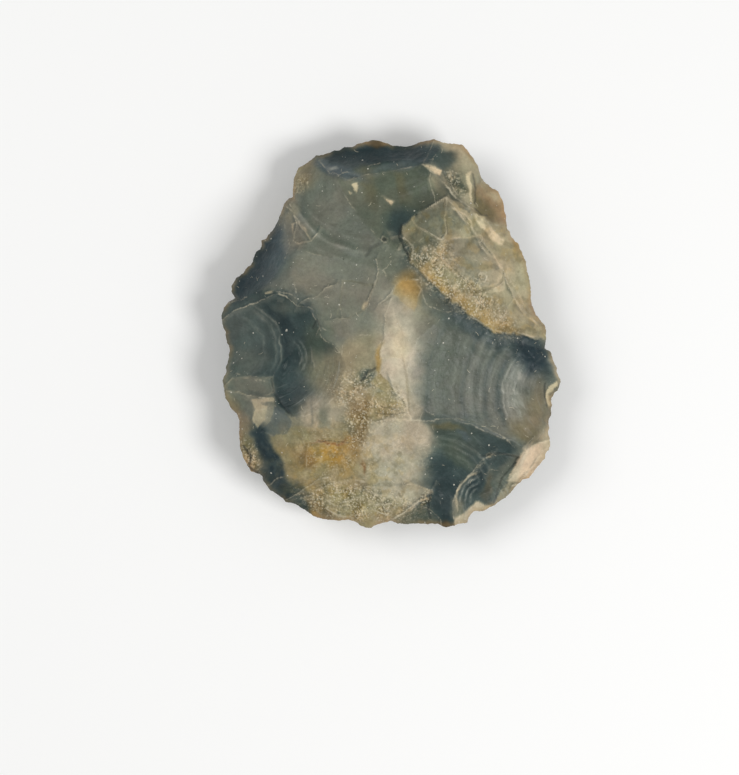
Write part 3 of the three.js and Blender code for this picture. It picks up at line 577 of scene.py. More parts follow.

# Flat facets and chips of the upper face: drop, tilt along x and y (the drop for each millimetre
# from the middle of the facet), colour, strength, strength of the pale rim (a painted highlight along
# the facet's edge), corners.
FACETS = (
    (0.35, -0.05, 0.03, "olive_grey", 0.6, 0.5,  # west tongue
        ((5.1, 23.1), (10.8, 26.2), (10.3, 22.6), (10.5, 19), (9.8, 17.9), (7.7, 19), (5.6, 20),
         (4.1, 21.8))),
    (0.1, 0.04, 0, "sand", 0.45, 0.5,  # peak
        ((10.8, 26.2), (13.4, 22.6), (17.2, 18.4), (10.3, 17.9), (10.5, 19), (10.3, 22.6))),
    (0.35, -0.03, -0.04, "plateau_grey", 0.7, 1,  # island
        ((10.3, 17.9), (17.2, 18.7), (21.1, 12.8), (21.7, 10.2), (18.6, 8), (17, 7.9), (13.4, 10.7),
         (9.8, 14.3))),
    (0.2, 0.08, 0.03, "khaki", 0.5, 0.8,  # crest strip
        ((11.8, 24.1), (14.7, 22.6), (17.5, 16.4), (21.1, 13.3), (22.4, 9.7), (23.9, 6.8), (28.1, 2.2),
         (21.9, 12), (17, 18.4), (13.4, 22.6))),
    (0.35, 0.05, 0, "khaki", 0.5, 0.7,  # flank foot
        ((22.4, 5), (23.9, 6.8), (25.7, 3.9), (28.1, 2.2), (30.4, -0.6), (25.7, -0.1), (21.6, 2.2))),
    (0.25, 0.03, 0.03, "warm_grey", 0.6, 0.2,  # middle facet
        ((-9.3, 10.2), (-3.1, 9.2), (-4.3, 6.6), (-4.9, 4.5), (-8.3, 2.7), (-10.4, 2.6), (-9.8, 5.6))),
    (0.15, 0, 0, "cream", 0.8, 0.3,  # crown chip
        ((-5.6, 4.8), (-4.9, 6.2), (-4.4, 6.4), (-4.7, 5), (-5, 4.4))),
    (0.15, 0.03, 0, "ochre_dun", 0.7, 0.5,  # ochre facet
        ((0.8, 9.3), (2.4, 10.2), (4.6, 9.9), (5.6, 8.2), (5, 5.6), (4.4, 3.9), (2.4, 5.6), (0.4, 7.2))),
    (0.1, 0.08, 0, "cream_grey", 0.4, 0.25,  # streak facet
        ((0, 7.1), (2.3, -0.1), (2.5, -5.8), (3.3, -10.9), (3.8, -16.6), (0.6, -10.9), (-0.6, -7.3),
         (-2, -4.2), (-1.3, -0.6), (-1.1, 4.5))),
    (0.1, 0.04, 0, "cream_grey", 0.8, 0.4,  # streak foot
        ((2.6, -4.9), (3.1, -12.1), (3.8, -16.8), (0.6, -11.4), (-1.9, -7.8), (-1.6, -4.9))),
    (0.3, 0, 0.04, "dun", 0.8, 0.6,  # streak corner
        ((-1.9, -7.4), (0.8, -11.2), (-1.9, -11.2), (-4.1, -9.6))),
    (0.35, -0.04, 0.03, "dun", 0.65, 0.6,  # above the foot
        ((-3.1, -11.5), (-0.6, -10.9), (2.5, -13), (3.8, -16.6), (0, -16.4), (-3.1, -17.1),
         (-5.2, -15.1))),
    (0.1, 0, 0, "dun", 0.4, 0,  # foot tan
        ((-23.5, -20.2), (-18.6, -17.6), (-11.9, -18.2), (-6.5, -19.2), (-4.7, -23.8), (-5.2, -29),
         (-4.2, -33.6), (-8.3, -36.7), (-13.5, -35.7), (-16.8, -32.1), (-19.1, -29), (-22.2, -24.9))),
    (0.25, -0.06, -0.03, "blue_grey", 0.6, 0.1,  # blue chip
        ((-22.4, -13.6), (-20.2, -15), (-19.1, -17), (-19.8, -19.2), (-23.2, -19.8), (-25.4, -18.9),
         (-23.4, -17))),
    (0.3, 0.05, -0.07, "tan_grey", 0.6, 0.8,  # bluff
        ((7.7, -30.4), (3.6, -29.1), (0, -29.8), (-0.6, -36.2), (2.3, -34.9), (5.1, -32.6))),
    (0.3, 0, 0, "grey", 0.5, 0.7,  # left chip
        ((-19.1, 21.3), (-18.4, 21.5), (-16.8, 20), (-15.3, 17.9), (-17.6, 17.2), (-18.9, 17.9))),
    # under the bite: a tilted facet whose blue-grey is a painted sheen of light along the bite's lip
    (0.25, 0, 0.06, "blue_grey", 0.6, 0.1,  # under the bite
        ((-14, 33.4), (-11.4, 32.9), (-7.3, 30.8), (-5.2, 30.6), (-8.3, 29.4), (-11.9, 31))),
    (0.4, -0.04, 0, "grey", 0.6, 0.4,  # notch step
        ((-32.3, -10.2), (-30.6, -8.5), (-22.8, -8.4), (-22.6, -11.5), (-25.3, -12.4), (-32, -11))),
    (0.5, 0.05, 0.05, "grey_green", 0.6, 0.3,  # inner wedge
        ((19.8, -23.2), (25, -23.8), (21.6, -28), (19.8, -33.1), (18.5, -28))),
    (-0.1, 0.05, 0.03, "rose_cream", 0.9, 0.5,  # edge facet
        ((24.4, -24.2), (26, -22.3), (29.3, -20.9), (33.5, -19.5), (33.5, -23.5), (30.6, -27.6),
         (28.2, -29.6), (25.6, -28.9), (22.4, -28.5))),
    (0.1, 0.03, 0.03, "tan_grey", 0.8, 0.6,  # rim strip
        ((23, -28.3), (25.6, -28.9), (28.2, -29.6), (25, -33.5), (20.9, -34.5), (19.6, -33.6),
         (20.4, -32.2))),
    (0.15, 0.03, 0, "rose_cream", 0.85, 0.5,  # scar foot chip
        ((16.4, -32.4), (20, -33.3), (17.6, -35.6), (15.3, -38.5), (12.6, -38), (12.4, -35.8),
         (14.6, -34.6))),
    (0.3, 0.05, 0.02, "dark_olive", 0.6, 0.3,  # channel
        ((9.5, 31.3), (13.4, 30.8), (14.7, 27.6), (14.2, 26.4), (12.8, 26.9), (11.6, 28.5))),
    (0.25, 0, 0, "cream", 0.9, 0.5,  # peak chip
        ((6.1, 32.6), (8.6, 32.2), (9.9, 31.4), (9.6, 30.2), (8.2, 30.8))),
    (0.2, 0, 0, "cream", 0.85, 0.3,  # upper chip
        ((-7.6, 29), (-6.3, 29.1), (-6.4, 28.1), (-6.8, 27), (-7.3, 28.1))),
    (0.2, 0, 0, "cream", 0.9, 0.3, ((-8.1, 27.9), (-7.4, 27.4), (-8.1, 26.9))),  # upper speck
    (0.2, 0, 0, "cream", 0.8, 0.3,  # middle chip
        ((-1.7, 26.5), (-0.7, 25.9), (0.6, 25.4), (0.3, 24.7), (-0.5, 25.2))),
    (0.15, 0, 0, "sand", 0.7, 0.3, ((-0.6, 19.7), (1.8, 19.4), (1.5, 18.2), (0, 18))),  # pit lip
    (-0.2, 0.05, 0, "cream", 0.9, 0.6,  # slab
        ((15.9, 23.5), (17.8, 22.8), (19.9, 20.2), (21.9, 18.1), (21.7, 17.3), (19.9, 17.8),
         (17.3, 20.2), (16.2, 22.1))),
    (-0.1, 0, 0, "sand", 0.85, 0.6,  # island lip
        ((15.7, 8.6), (18.4, 7.5), (20.4, 8.2), (22, 8.9), (22.3, 10.9), (21.5, 12.9), (21, 11.6),
         (20.5, 10), (18.9, 9))),
    (-0.1, 0.05, 0, "cream", 0.9, 0.3,  # shoulder sliver
        ((14.7, 30.8), (15.8, 31.3), (15.6, 28.2), (16, 24.1), (15.4, 25.7), (14.7, 29))),
    (0.3, -0.05, 0, "sand", 0.85, 0.3,  # notch chip
        ((-27.1, -12.5), (-22.5, -12.5), (-22.3, -13.3), (-25.1, -13.5), (-23.8, -14.1), (-24.5, -16.9),
         (-25.8, -18.2), (-27, -16.4), (-26.3, -14.6))),
    (0.1, 0, 0, "sand", 0.8, 0.3, ((-24.6, 8), (-22.9, 8.3), (-23, 7.7), (-24.5, 7.5))),  # yellow chip
    (0.1, 0, 0, "cream", 0.85, 0.5,  # rim crescent
        ((32.4, -9.1), (30.7, -10), (30, -11.4), (30, -13), (30.7, -13.8), (31.3, -13.7), (31.5, -13.2),
         (30.9, -12.6), (30.9, -11.6), (31.7, -10.8), (32.6, -10))),
)
CHIP_STRENGTH = 0.8  # a facet as strong as this is a fresh chip, painted over the soft patches
FACET_BEVEL = 0.16  # distance over which a facet's border slopes
FACET_RIM = 0.14  # half width of its pale rim
RIM_HIGHLIGHT_STRENGTH = 0.8
RIM_CLOUDS = (3, -0.5, 0.3)  # noise that breaks the rims: size, and where they begin and are full

# The raised rough plateau of the upper right: its ragged border.
PLATEAU = (
    (4.1, 21.8), (2.3, 20.8), (2.1, 18.7), (4.3, 16.4), (3.8, 13.8), (4.8, 12.5), (6.9, 10.7),
    (9.2, 8.4), (13.4, 5), (16.5, 2.5), (19.6, 0.4), (22.6, 0.1), (25.7, -0.1), (31, -1),
    (34, 8), (28, 18), (18.5, 22), (15, 24), (10.8, 26.2), (7.7, 24.4),
)
PLATEAU_STEP = 0.85
PLATEAU_BANK = (-0.5, 0.9)  # distances outside the border over which the step goes down
PLATEAU_FADE = 6.0  # distance at which the ground is back at its own level
PLATEAU_BORDER = (-0.5, 0.1)  # distances inside the border over which its colours set in
PLATEAU_COLOUR = ("olive_tan", 0.85)

# Crystalline, crumbly patches: x, y, half length, half width, heading, softness, strength.
CRUMBLES = (
    (-17.3, 28.8, 1.3, 1.7, -20, 0.5, 0.9),
    (13.4, 8, 11.5, 3.2, -37, 0.5, 1),
    (9, 14, 3.8, 3, -60, 0.6, 0.9),
    (17.7, 10.8, 1.2, 1.2, 0, 0.6, 1),
    (-6, -32.6, 10.4, 3.6, -8, 0.5, 1.1),
    (-6, -15.5, 3, 7.5, -4, 0.6, 0.9),
    (-6.5, -10.5, 5, 3.2, 20, 0.6, 0.8),
    (-0.5, -14, 4.5, 3.6, 0, 0.6, 0.8),
    (-10, -24, 9, 6, -20, 0.8, 0.35),
    (-28, -24, 2.2, 4, 20, 0.5, 0.9),
    (12.5, 29, 1.5, 3, 35, 0.5, 0.6),
    (18, -24.6, 2.2, 0.6, 45, 0.5, 0.6),
    (6.6, -31.9, 1.8, 0.8, 60, 0.5, 1),
    (1.5, -23, 5.5, 5, 0, 0.7, 0.3),
)
# Its pits and crests: colour, strength, and how much of a crest begins it and makes it full. The brown
# in the low pits and the cream on the raised crests and terrace edges are partly the stone's own
# mottling and partly painted shade and painted highlight of its relief.
CRUMBLE_TONES_AND_SHADING = (("umber", 0.6, 0.82, 0.5), ("cream", 0.9, 0.86, 0.97))

# Stains of the rough stone, the plateau and the foot: colour, strength, size of the clouds, seed,
# sign, and the height of the clouds where they begin.
STAINS = (
    ("ochre", 0.22, 2.4, 470, 1, 0.1),
    ("sand", 0.32, 2.4, 470, -1, 0.1),
    ("brown_olive", 0.35, 1.5, 480, 1, 0.15),
)
STAIN_FULL = 0.5
STAINED_PLATEAU = 0.75
STAINED_FOOT = (-9, -27, 14, 9, -15, 0.5)  # x, y, half length, half width, heading, softness
FOOT_STRENGTH = 0.8

# The brown of the thin edge: strength, distance from the edge over which it goes, and the part of
# it that is left where it is faint.
EDGE_BROWN = 0.65
EDGE_BROWN_REACH = (0.1, 1.3)
EDGE_BROWN_LEAST = 0.25

# ---------------------------------------------------------------- noise

# Numbers that mix the bits of a cell's place.
HASH_X = 374761393
HASH_Y = 668265263
HASH_SEED = 974711
HASH_MIX = 1274126177
NOISE_GAIN = 1.5  # brings the noise up to about -1 to 1

# How borders stray, as waves of noise: reach, length, layers, and what is added to the seed for x
# and for y.
BROKEN = ((0.34, 3.2, 3, 0, 20), (0.1, 0.7, 1, 40, 60))
TORN = (*BROKEN, (0.5, 1.6, 2, 4, 6))
SOFT = ((0.8, 5.0, 3, 60, 100), (0.25, 1.1, 1, 80, 120))
VEINED = ((0.14, 1.4, 1, 140, 150), (0.07, 0.5, 1, 141, 151))

# Seeds: those of a face's form and of its colours. Each use adds its own small number.
UPPER_SEED = 100
UPPER_PAINT_SEED = 300
UNDER_SEED = 500
UNDER_PAINT_SEED = 520


def smoothstep(low, high, value):
    part = np.clip((value - low) / (high - low), 0.0, 1.0)
    return part * part * (3.0 - 2.0 * part)


def lattice_noise(x, y, seed):
    """Smooth noise with one cell per unit, about -1 to 1."""
    cell_x = np.floor(x).astype(np.int64)
    cell_y = np.floor(y).astype(np.int64)
    part_x = x - cell_x
    part_y = y - cell_y

    def corner(step_x, step_y):
        mixed = (cell_x + step_x) * HASH_X + (cell_y + step_y) * HASH_Y + seed * HASH_SEED
        mixed &= 0xFFFFFFFF
        mixed = ((mixed ^ (mixed >> 13)) * HASH_MIX) & 0xFFFFFFFF
        angle = (mixed ^ (mixed >> 16)) / 2**32 * TURN
        return np.cos(angle) * (part_x - step_x) + np.sin(angle) * (part_y - step_y)

    ease_x = smoothstep(0.0, 1.0, part_x)
    ease_y = smoothstep(0.0, 1.0, part_y)
    low = corner(0, 0) * (1 - ease_x) + corner(1, 0) * ease_x
    high = corner(0, 1) * (1 - ease_x) + corner(1, 1) * ease_x
    return NOISE_GAIN * (low * (1 - ease_y) + high * ease_y)


def layered_noise(x, y, size, seed, layers=3):
    """Noise of the given size, and each further layer half as large and half as strong."""
    total = np.zeros_like(x)
    share = 1.0
    for layer in range(layers):
        total += share * lattice_noise(x / size, y / size, seed + layer)
        share *= 0.5
        size *= 0.5
    return total


def clouds(x, y, seed, size, low, high, layers=1):
    """0 where the noise is below the low mark, 1 where it is above the high one."""
    return smoothstep(low, high, layered_noise(x, y, size, seed, layers))


def wander(x, y, seed, waves=BROKEN):
    """Shifts points a little, so that arrises and borders run like broken stone."""
    shift_x = np.zeros_like(x)
    shift_y = np.zeros_like(y)
    for reach, length, layers, add_x, add_y in waves:
        shift_x += reach * layered_noise(x, y, length, seed + add_x, layers)
        shift_y += reach * layered_noise(x, y, length, seed + add_y, layers)
    return x + shift_x, y + shift_y


def turned(x, y, centre_x, centre_y, heading):
    """Places along and across a heading, from a centre."""
    turn = math.radians(heading)
    dx = x - centre_x
    dy = y - centre_y
    return dx * math.cos(turn) + dy * math.sin(turn), dy * math.cos(turn) - dx * math.sin(turn)


# ---------------------------------------------------------------- outline


def outline_table():
    """Angle and radius of points along the bowed stretches between the corners."""
    points = []
    for index, (x, y, bow) in enumerate(CORNERS):
        next_x, next_y, _ = CORNERS[(index + 1) % len(CORNERS)]
        run_x = next_x - x
        run_y = next_y - y
        run = math.hypot(run_x, run_y)
        out_x = -run_y / run
        out_y = run_x / run
        for step in range(STRETCH_STEPS):
            along = step / STRETCH_STEPS
            swell = 4 * bow * along * (1 - along)
            points.append((x + run_x * along + out_x * swell, y + run_y * along + out_y * swell))
    points = np.array(points)
    angle = np.arctan2(points[:, 1], points[:, 0]) % TURN
    radius = np.hypot(points[:, 0], points[:, 1])
    order = np.argsort(angle)
    return angle[order], radius[order]


OUTLINE_ANGLE, OUTLINE_RADIUS = outline_table()


def rim_radius(angle):
    return np.interp(angle % TURN, OUTLINE_ANGLE, OUTLINE_RADIUS, period=TURN)


def egg_harmonics(samples=1440):
    """Cosine and sine parts of the outline's first harmonics."""
    angle = np.arange(samples) / samples * TURN
    radius = rim_radius(angle)
    harmonics = []
    for order in range(EGG_HARMONICS):
        share = 1 if order == 0 else 2
        cosine = share * np.mean(radius * np.cos(order * angle))
        sine = share * np.mean(radius * np.sin(order * angle))
        harmonics.append((cosine, sine))
    return harmonics


EGG = egg_harmonics()


def egg_radius(angle):
    return sum(c * np.cos(k * angle) + s * np.sin(k * angle) for k, (c, s) in enumerate(EGG))


def trim_flakes(seed, count):
    """Small flakes along the edge of a face. They notch the outline too."""
    chance = np.random.default_rng(seed)
    turn = (np.arange(count) + chance.uniform(-TRIM_SPREAD, TRIM_SPREAD, count)) / count
    return {
        "angle": turn * TURN,
        "width": chance.uniform(*TRIM_WIDTH, count),
        "length": chance.uniform(*TRIM_LENGTH, count),
        "depth": chance.uniform(*TRIM_DEPTH, count),
        "notch": TRIM_NOTCH * chance.uniform(0.0, 1.0, count) ** NOTCH_RARITY,
    }


UPPER_TRIM = trim_flakes(*UPPER_TRIM_DRAW)
UNDER_TRIM = trim_flakes(*UNDER_TRIM_DRAW)


def notched_radius(angle):
    """The outline with the fine notches of the trimming flakes."""
    radius = rim_radius(angle)
    notch = np.zeros_like(radius)
    for trim in (UPPER_TRIM, UNDER_TRIM):
        for at, width, depth in zip(trim["angle"], trim["width"], trim["notch"]):
            away = (angle - at + math.pi) % TURN - math.pi
            across = away * radius / (0.5 * width)
            notch = np.maximum(notch, depth * (1 - across**2))
    shiver = np.zeros_like(radius)
    for size, count, seed in EDGE_SHIVERS:
        shiver += size * lattice_noise(angle * count, angle * 0, seed)
    return radius - notch + shiver


# ---------------------------------------------------------------- flake scars


def under_scars():
    """The underside's scars, in the same columns as those of the upper face."""
    scars = []
    for count, start, sway_turn, reach, length, width, depth, level in UNDER_ROWS:
        for index in range(count):
            sway = math.sin(index * SWAY_STEP + count)
            counter = math.cos(index * SWAY_STEP * 2 + count)
            angle = (start + index / count + sway_turn * sway) * TURN
            radius = float(egg_radius(angle))
            scars.append((
                reach * radius * math.cos(angle),
                reach * radius * math.sin(angle),
                length * radius * (1 + SWAY_SIZE * counter),
                width * radius * (1 + SWAY_SIZE * sway),
                math.degrees(angle) + 180 + SWAY_HEADING * sway_turn * counter,
                depth * (1 + SWAY_SIZE * counter),
                level,
            ))
    return scars


def struck_point(scar):
    x, y, length, _, heading, _, _ = scar
    turn = math.radians(heading)
    return x - 0.5 * length * math.cos(turn), y - 0.5 * length * math.sin(turn)


def scar_drops(scars, x, y):
    """One row for each scar: its drop at every point, negative outside it. The last row is the dome."""
    rows = []
    for scar_x, scar_y, length, width, heading, depth, level in scars:
        along, across = turned(x, y, scar_x, scar_y, heading)
        along = along / (length / 2)
        across = across / (width / 2)
        lean = SCAR_LEAN * np.clip(along, -LEAN_LIMIT, LEAN_LIMIT)
        rows.append(level + depth * (1 - along**2 - across**2) * (1 - lean))
    rows.append(np.zeros_like(x))
    return np.array(rows)


def deepest(scars, x, y, seed):
    """The deepest drop, whose it is, and its margin over the next."""
    drops = scar_drops(scars, *wander(x, y, seed))
    owner = np.argmax(drops, axis=0)
    ranked = np.partition(drops, -2, axis=0)
    return ranked[-1], owner, ranked[-1] - ranked[-2]


def arris_slope(scars, x, y, seed):
    """The margin over the next scar, which is 0 on an arris, and its slope."""
    _, _, margin = deepest(scars, x, y, seed)
    slope_x = (deepest(scars, x + SLOPE_STEP, y, seed)[2] - margin) / SLOPE_STEP
    slope_y = (deepest(scars, x, y + SLOPE_STEP, seed)[2] - margin) / SLOPE_STEP
    return margin, slope_x, slope_y


def snap_to_arrises(scars, x, y, reach, seed):
    """Draws points that lie near an arris onto it."""
    margin, slope_x, slope_y = arris_slope(scars, x, y, seed)
    square = np.maximum(slope_x**2 + slope_y**2, LEAST_SQUARE)
    near = margin < reach * np.sqrt(square)
    snapped_x = np.where(near, x - margin * slope_x / square, x)
    snapped_y = np.where(near, y - margin * slope_y / square, y)
    return snapped_x, snapped_y


def trim_drop(trim, x, y):
    """Drop of the small trimming flakes."""
    drop = np.zeros_like(x)
    for at, width, length, depth in zip(trim["angle"], trim["width"], trim["length"], trim["depth"]):
        rim = float(rim_radius(np.array([at]))[0])
        inward = rim - (x * math.cos(at) + y * math.sin(at))
        across = (y * math.cos(at) - x * math.sin(at)) / (0.5 * width)
        along = (inward - 0.25 * length) / (0.75 * length)
        drop = np.maximum(drop, depth * (1 - along**2 - across**2))
    return drop


# ---------------------------------------------------------------- patches, seams and chips


def patch_weight(x, y, patch_x, patch_y, half_length, half_width, heading, softness):
    """1 in the middle of an oval patch, 0 outside it."""
    along, across = turned(x, y, patch_x, patch_y, heading)
    reach = np.sqrt((along / half_length)**2 + (across / half_width)**2)
    return 1 - smoothstep(1 - softness, 1 + softness, reach)


def seam_distance(points, x, y):
    """Distance to a line of points, and how far that is towards the lit side."""
    nearest = np.full_like(x, 1e3)
    toward_light = np.zeros_like(x)
    for (start_x, start_y), (end_x, end_y) in zip(points, points[1:]):
        run_x = end_x - start_x
        run_y = end_y - start_y
        along = ((x - start_x) * run_x + (y - start_y) * run_y) / (run_x**2 + run_y**2)
        along = np.clip(along, 0, 1)
        aside_x = x - start_x - along * run_x
        aside_y = y - start_y - along * run_y
        distance = np.hypot(aside_x, aside_y)
        lit = aside_x * LIT_SIDE[0] + aside_y * LIT_SIDE[1]
        toward_light = np.where(distance < nearest, lit, toward_light)
        nearest = np.minimum(nearest, distance)
    return nearest, toward_light


def nearest_line(lines, x, y):
    """Distance to the nearest line in half widths of it, its lit side, and its strength."""
    nearest = np.full_like(x, LINE_FAR)
    lit = np.zeros_like(x)
    strength = np.zeros_like(x)
    for half_width, line_strength, points in lines:
        distance, toward_light = seam_distance(points, x, y)
        mine = distance / half_width < nearest
        strength = np.where(mine, line_strength, strength)
        lit = np.where(mine, toward_light, lit)
        nearest = np.where(mine, distance / half_width, nearest)
    return nearest, lit, strength


def polygon_depth(corners, x, y):
    """Distance inside a closed shape, negative outside it."""
    closed = list(corners) + [corners[0]]
    inside = np.zeros(x.shape, bool)
    for (start_x, start_y), (end_x, end_y) in zip(closed, closed[1:]):
        crosses = (start_y > y) != (end_y > y)
        with np.errstate(divide="ignore", invalid="ignore"):
            cut = start_x + (y - start_y) * (end_x - start_x) / (end_y - start_y)
        inside ^= crosses & (x < cut)
    distance, _ = seam_distance(closed, x, y)
    return np.where(inside, distance, -distance)


def palette_colour(name):
    return np.array(PALETTE[name], float) / 255


def paint(colours, name, weight):
    """Lays a colour of the palette over the colours."""
    return colours + (palette_colour(name) - colours) * weight[:, None]


# ---------------------------------------------------------------- the two faces


def edge_height(angle, share):
    wave = sum(height * np.sin(count * angle + phase) for count, height, phase in EDGE_WAVES)
    return EDGE_HEIGHT + wave * share**EDGE_WAVE_FADE


def ripple_fields(ripples, owner, x, y, seed):
    """Place of every point along and across the ripples of its scar, and their height and colour."""
    fields = {name: np.zeros_like(x) for name in ("run", "turn", "height", "colour")}
    for index, (centre_x, centre_y, heading, wavelength, height, colour) in ripples.items():
        mine = owner == index
        run = np.hypot(x - centre_x, y - centre_y)
        direction = np.arctan2(y - centre_y, x - centre_x) - math.radians(heading)
        turn = (direction + math.pi) % TURN - math.pi
        stretched = turn * (run + RIPPLE_START)
        fields["run"][mine] = run[mine] / wavelength
        fields["turn"][mine] = stretched[mine] / wavelength / RIPPLE_STRETCH + index
        fields["height"][mine] = height
        fields["colour"][mine] = colour
    bend, size = RIPPLE_WANDER
    fields["run"] += bend * lattice_noise(x / size, y / size, seed + 3)
    return fields


def face_relief(scars, ripples, trim, x, y, seed):
    """Drop below the dome and the fields that the material uses, for one face."""
    drop, owner, _ = deepest(scars, x, y, seed)
    margin, slope_x, slope_y = arris_slope(scars, x, y, seed)
    arris = margin / np.maximum(np.hypot(slope_x, slope_y), LEAST_SLOPE)

    ripple = ripple_fields(ripples, owner, x, y, seed)
    strong = RIPPLE_LEAST + (1 - RIPPLE_LEAST) * clouds(x, y, seed + 5, *RIPPLE_CLOUDS)
    strong = strong * smoothstep(0.0, RIPPLE_CALM, arris)
    wave = lattice_noise(ripple["run"], ripple["turn"], seed + 6)
    share, along, across = RIPPLE_FINE
    wave = wave + share * lattice_noise(along * ripple["run"], across * ripple["turn"], seed + 7)
    drop = drop + ripple["height"] * strong * wave

    drop = drop + trim_drop(trim, *wander(x, y, seed + 9))
    for add, (height, size, layers) in ((13, SWELLS), (14, GRAINS)):
        drop = drop + height * layered_noise(x, y, size, seed + add, layers)
    fields = {
        "arris": np.clip(arris, 0, 2),
        "ripple_run": ripple["run"],
        "ripple_turn": ripple["turn"],
        "ripple_colour": ripple["colour"] * strong,
    }
    return drop, fields


def scar_colours(scars, tones, arris, x, y, seed):
    """Every scar in its tone, blended a little into its neighbour's. The last tone is the dome's."""
    ground = palette_colour(GROUND)
    laid = np.array([ground + (palette_colour(name) - ground) * strength for name, strength in tones])
    ranked = np.argsort(scar_drops(scars, *wander(x, y, seed)), axis=0)
    own_share = 0.5 + 0.5 * np.clip(arris / SCAR_BLEND, 0, 1)
    own = laid[ranked[-1]]
    neighbour = laid[ranked[-2]]
    return neighbour + (own - neighbour) * own_share[:, None]


def crumble_relief(crumble, x, y, seed):
    """Lift of the broken crystalline stone, and how much of a crest each point is."""
    crest = 1 - np.abs(layered_noise(x, y, CREST_SIZE, seed, 3))
    step = clouds(x, y, seed + 8, *STEP_CLOUDS)
    level = TERRACES * layered_noise(x, y, TERRACE_SIZE, seed + 20, 3)
    part = level - np.floor(level)
    terrace = np.floor(level) + smoothstep(*TERRACE_RISE, part)
    rise = (part - TERRACE_RISE[0]) / (TERRACE_RISE[1] - TERRACE_RISE[0])
    edge = 1 - np.abs(2 * np.clip(rise, 0, 1) - 1)
    lift = CREST_HEIGHT * (crest - CREST_MIDDLE) + STEP_HEIGHT * step + TERRACE_HEIGHT * terrace
    return crumble * lift, np.maximum(crest, TERRACE_EDGE[0] + TERRACE_EDGE[1] * edge)


def crumble_tones_and_shading(colours, crumble, crest):
    """Brown pits and pale crests: partly the stone's own mottling, partly painted shade in the pits and
    painted highlight on the crests.
    """
    for name, strength, begin, full in CRUMBLE_TONES_AND_SHADING:
        colours = paint(colours, name, strength * crumble * smoothstep(begin, full, crest))
    return colours


def crumble_weight(x, y, ragged):
    crumble = np.zeros_like(x)
    for *patch, strength in CRUMBLES:
        crumble = np.maximum(crumble, strength * patch_weight(*ragged, *patch))
    broken = clouds(x, y, UPPER_PAINT_SEED + 20, *BROKEN_CLOUDS)
    return crumble * (CRUMBLE_LEAST + (1 - CRUMBLE_LEAST) * broken)


def cut_facets(colours, x, y, ragged):
    """The facets' drop and pale rims (a painted highlight along their edges), the colours with the old
    ones, and the fresh chips to lay on.
    """
    drop = np.zeros_like(x)
    rims = np.zeros_like(x)
    chips = []
    for facet_drop, tilt_x, tilt_y, name, strength, rim, corners in FACETS:
        depth = polygon_depth(corners, *ragged)
        middle_x, middle_y = np.mean(corners, axis=0)
        weight = smoothstep(0.0, FACET_BEVEL, depth)
        drop += (facet_drop + tilt_x * (x - middle_x) + tilt_y * (y - middle_y)) * weight
        rims = np.maximum(rims, rim * np.exp(-((depth / FACET_RIM) ** 2)))
        if strength < CHIP_STRENGTH:
            colours = paint(colours, name, strength * weight)
        else:
            chips.append((name, strength * weight))
    return drop, rims, colours, chips


def paint_patches(colours, x, y, on_plateau):
    """Soft patches, each kept to one side of the plateau's border where it says so."""
    sides = {-1: 1 - on_plateau, 0: np.ones_like(x), 1: on_plateau}
    soft = wander(x, y, UPPER_PAINT_SEED, SOFT)
    for *oval, name, softness, strength, side in PATCHES:
        colours = paint(colours, name, strength * patch_weight(*soft, *oval, softness) * sides[side])
    return colours


def paint_stains(colours, x, y, stained):
    for name, strength, size, seed, sign, start in STAINS:
        stain = smoothstep(start, STAIN_FULL, sign * layered_noise(x, y, size, seed))
        colours = paint(colours, name, strength * stained * stain)
    return colours


def paint_ripple_sheen_and_shade(colours, x, y, ragged):
    """Broken bands of strands along the ripples: painted sheen of light on them and painted shade between
    them, with a little of the stone's own banding.
    """
    even, cloudy, stranded = BAND_SHARES
    seed = UPPER_PAINT_SEED + 130
    for band_x, band_y, bands in RIPPLE_SHEEN_AND_SHADE_BANDS:
        reach = np.hypot(ragged[0] - band_x, ragged[1] - band_y)
        bearing = np.degrees(np.arctan2(y - band_y, x - band_x))
        for radius, half_width, first, last, name, strength in bands:
            run = reach - radius
            direction = bearing - 0.5 * (first + last)
            aside = np.abs((direction + 180) % 360 - 180) / (0.5 * (last - first))
            weight = np.exp(-((run / half_width) ** 2)) * (1 - smoothstep(*BAND_FADE, aside))
            cloud = lattice_noise(x / BAND_CLOUD, y / BAND_CLOUD, seed + round(10 * radius))
            strand = lattice_noise(run / STRAND_WIDTH, direction / STRAND_TURN, seed)
            weight = weight * (even + cloudy * cloud + stranded * strand)
            colours = paint(colours, name, strength * np.clip(weight, 0, 1))
    return colours


def draw_seams(drop, colours, x, y):
    """Raised seams with a painted highlight on the side towards the key light and painted shade on the
    other side, sunken cracks, and the fields of both.
    """
    veined = wander(x, y, UPPER_PAINT_SEED, VEINED)
    seam, lit, seam_strength = nearest_line(SEAMS, *veined)
    crack, _, crack_strength = nearest_line(CRACKS, *veined)
    width, change, size = SEAM_WIDTHS
    seam = seam / (width + change * lattice_noise(x / size, y / size, UPPER_PAINT_SEED + 160))
    seam_strength = seam_strength * clouds(x, y, UPPER_PAINT_SEED + 162, *SEAM_CLOUDS)
    # painted highlight on each seam's side towards the key light, painted shade on its far side
    for (name, strength, reach), aside in ((PAINTED_LIT_TONE, lit), (PAINTED_SHADE_TONE, -lit)):
        weight = smoothstep(0.0, LIT_START, aside) * (1 - smoothstep(LIT_HOLD, reach, aside))
        colours = paint(colours, name, strength * seam_strength * weight)
    drop = drop - SEAM_LIFT * seam_strength * (1 - smoothstep(0.0, SEAM_REACH, seam))
    drop = drop + CRACK_DEPTH * crack_strength * (1 - smoothstep(*CRACK_REACH, crack))
    fields = {
        "seam": seam,
        "seam_strength": seam_strength,
        "crack": crack,
        "crack_strength": crack_strength,
    }
    return drop, colours, fields


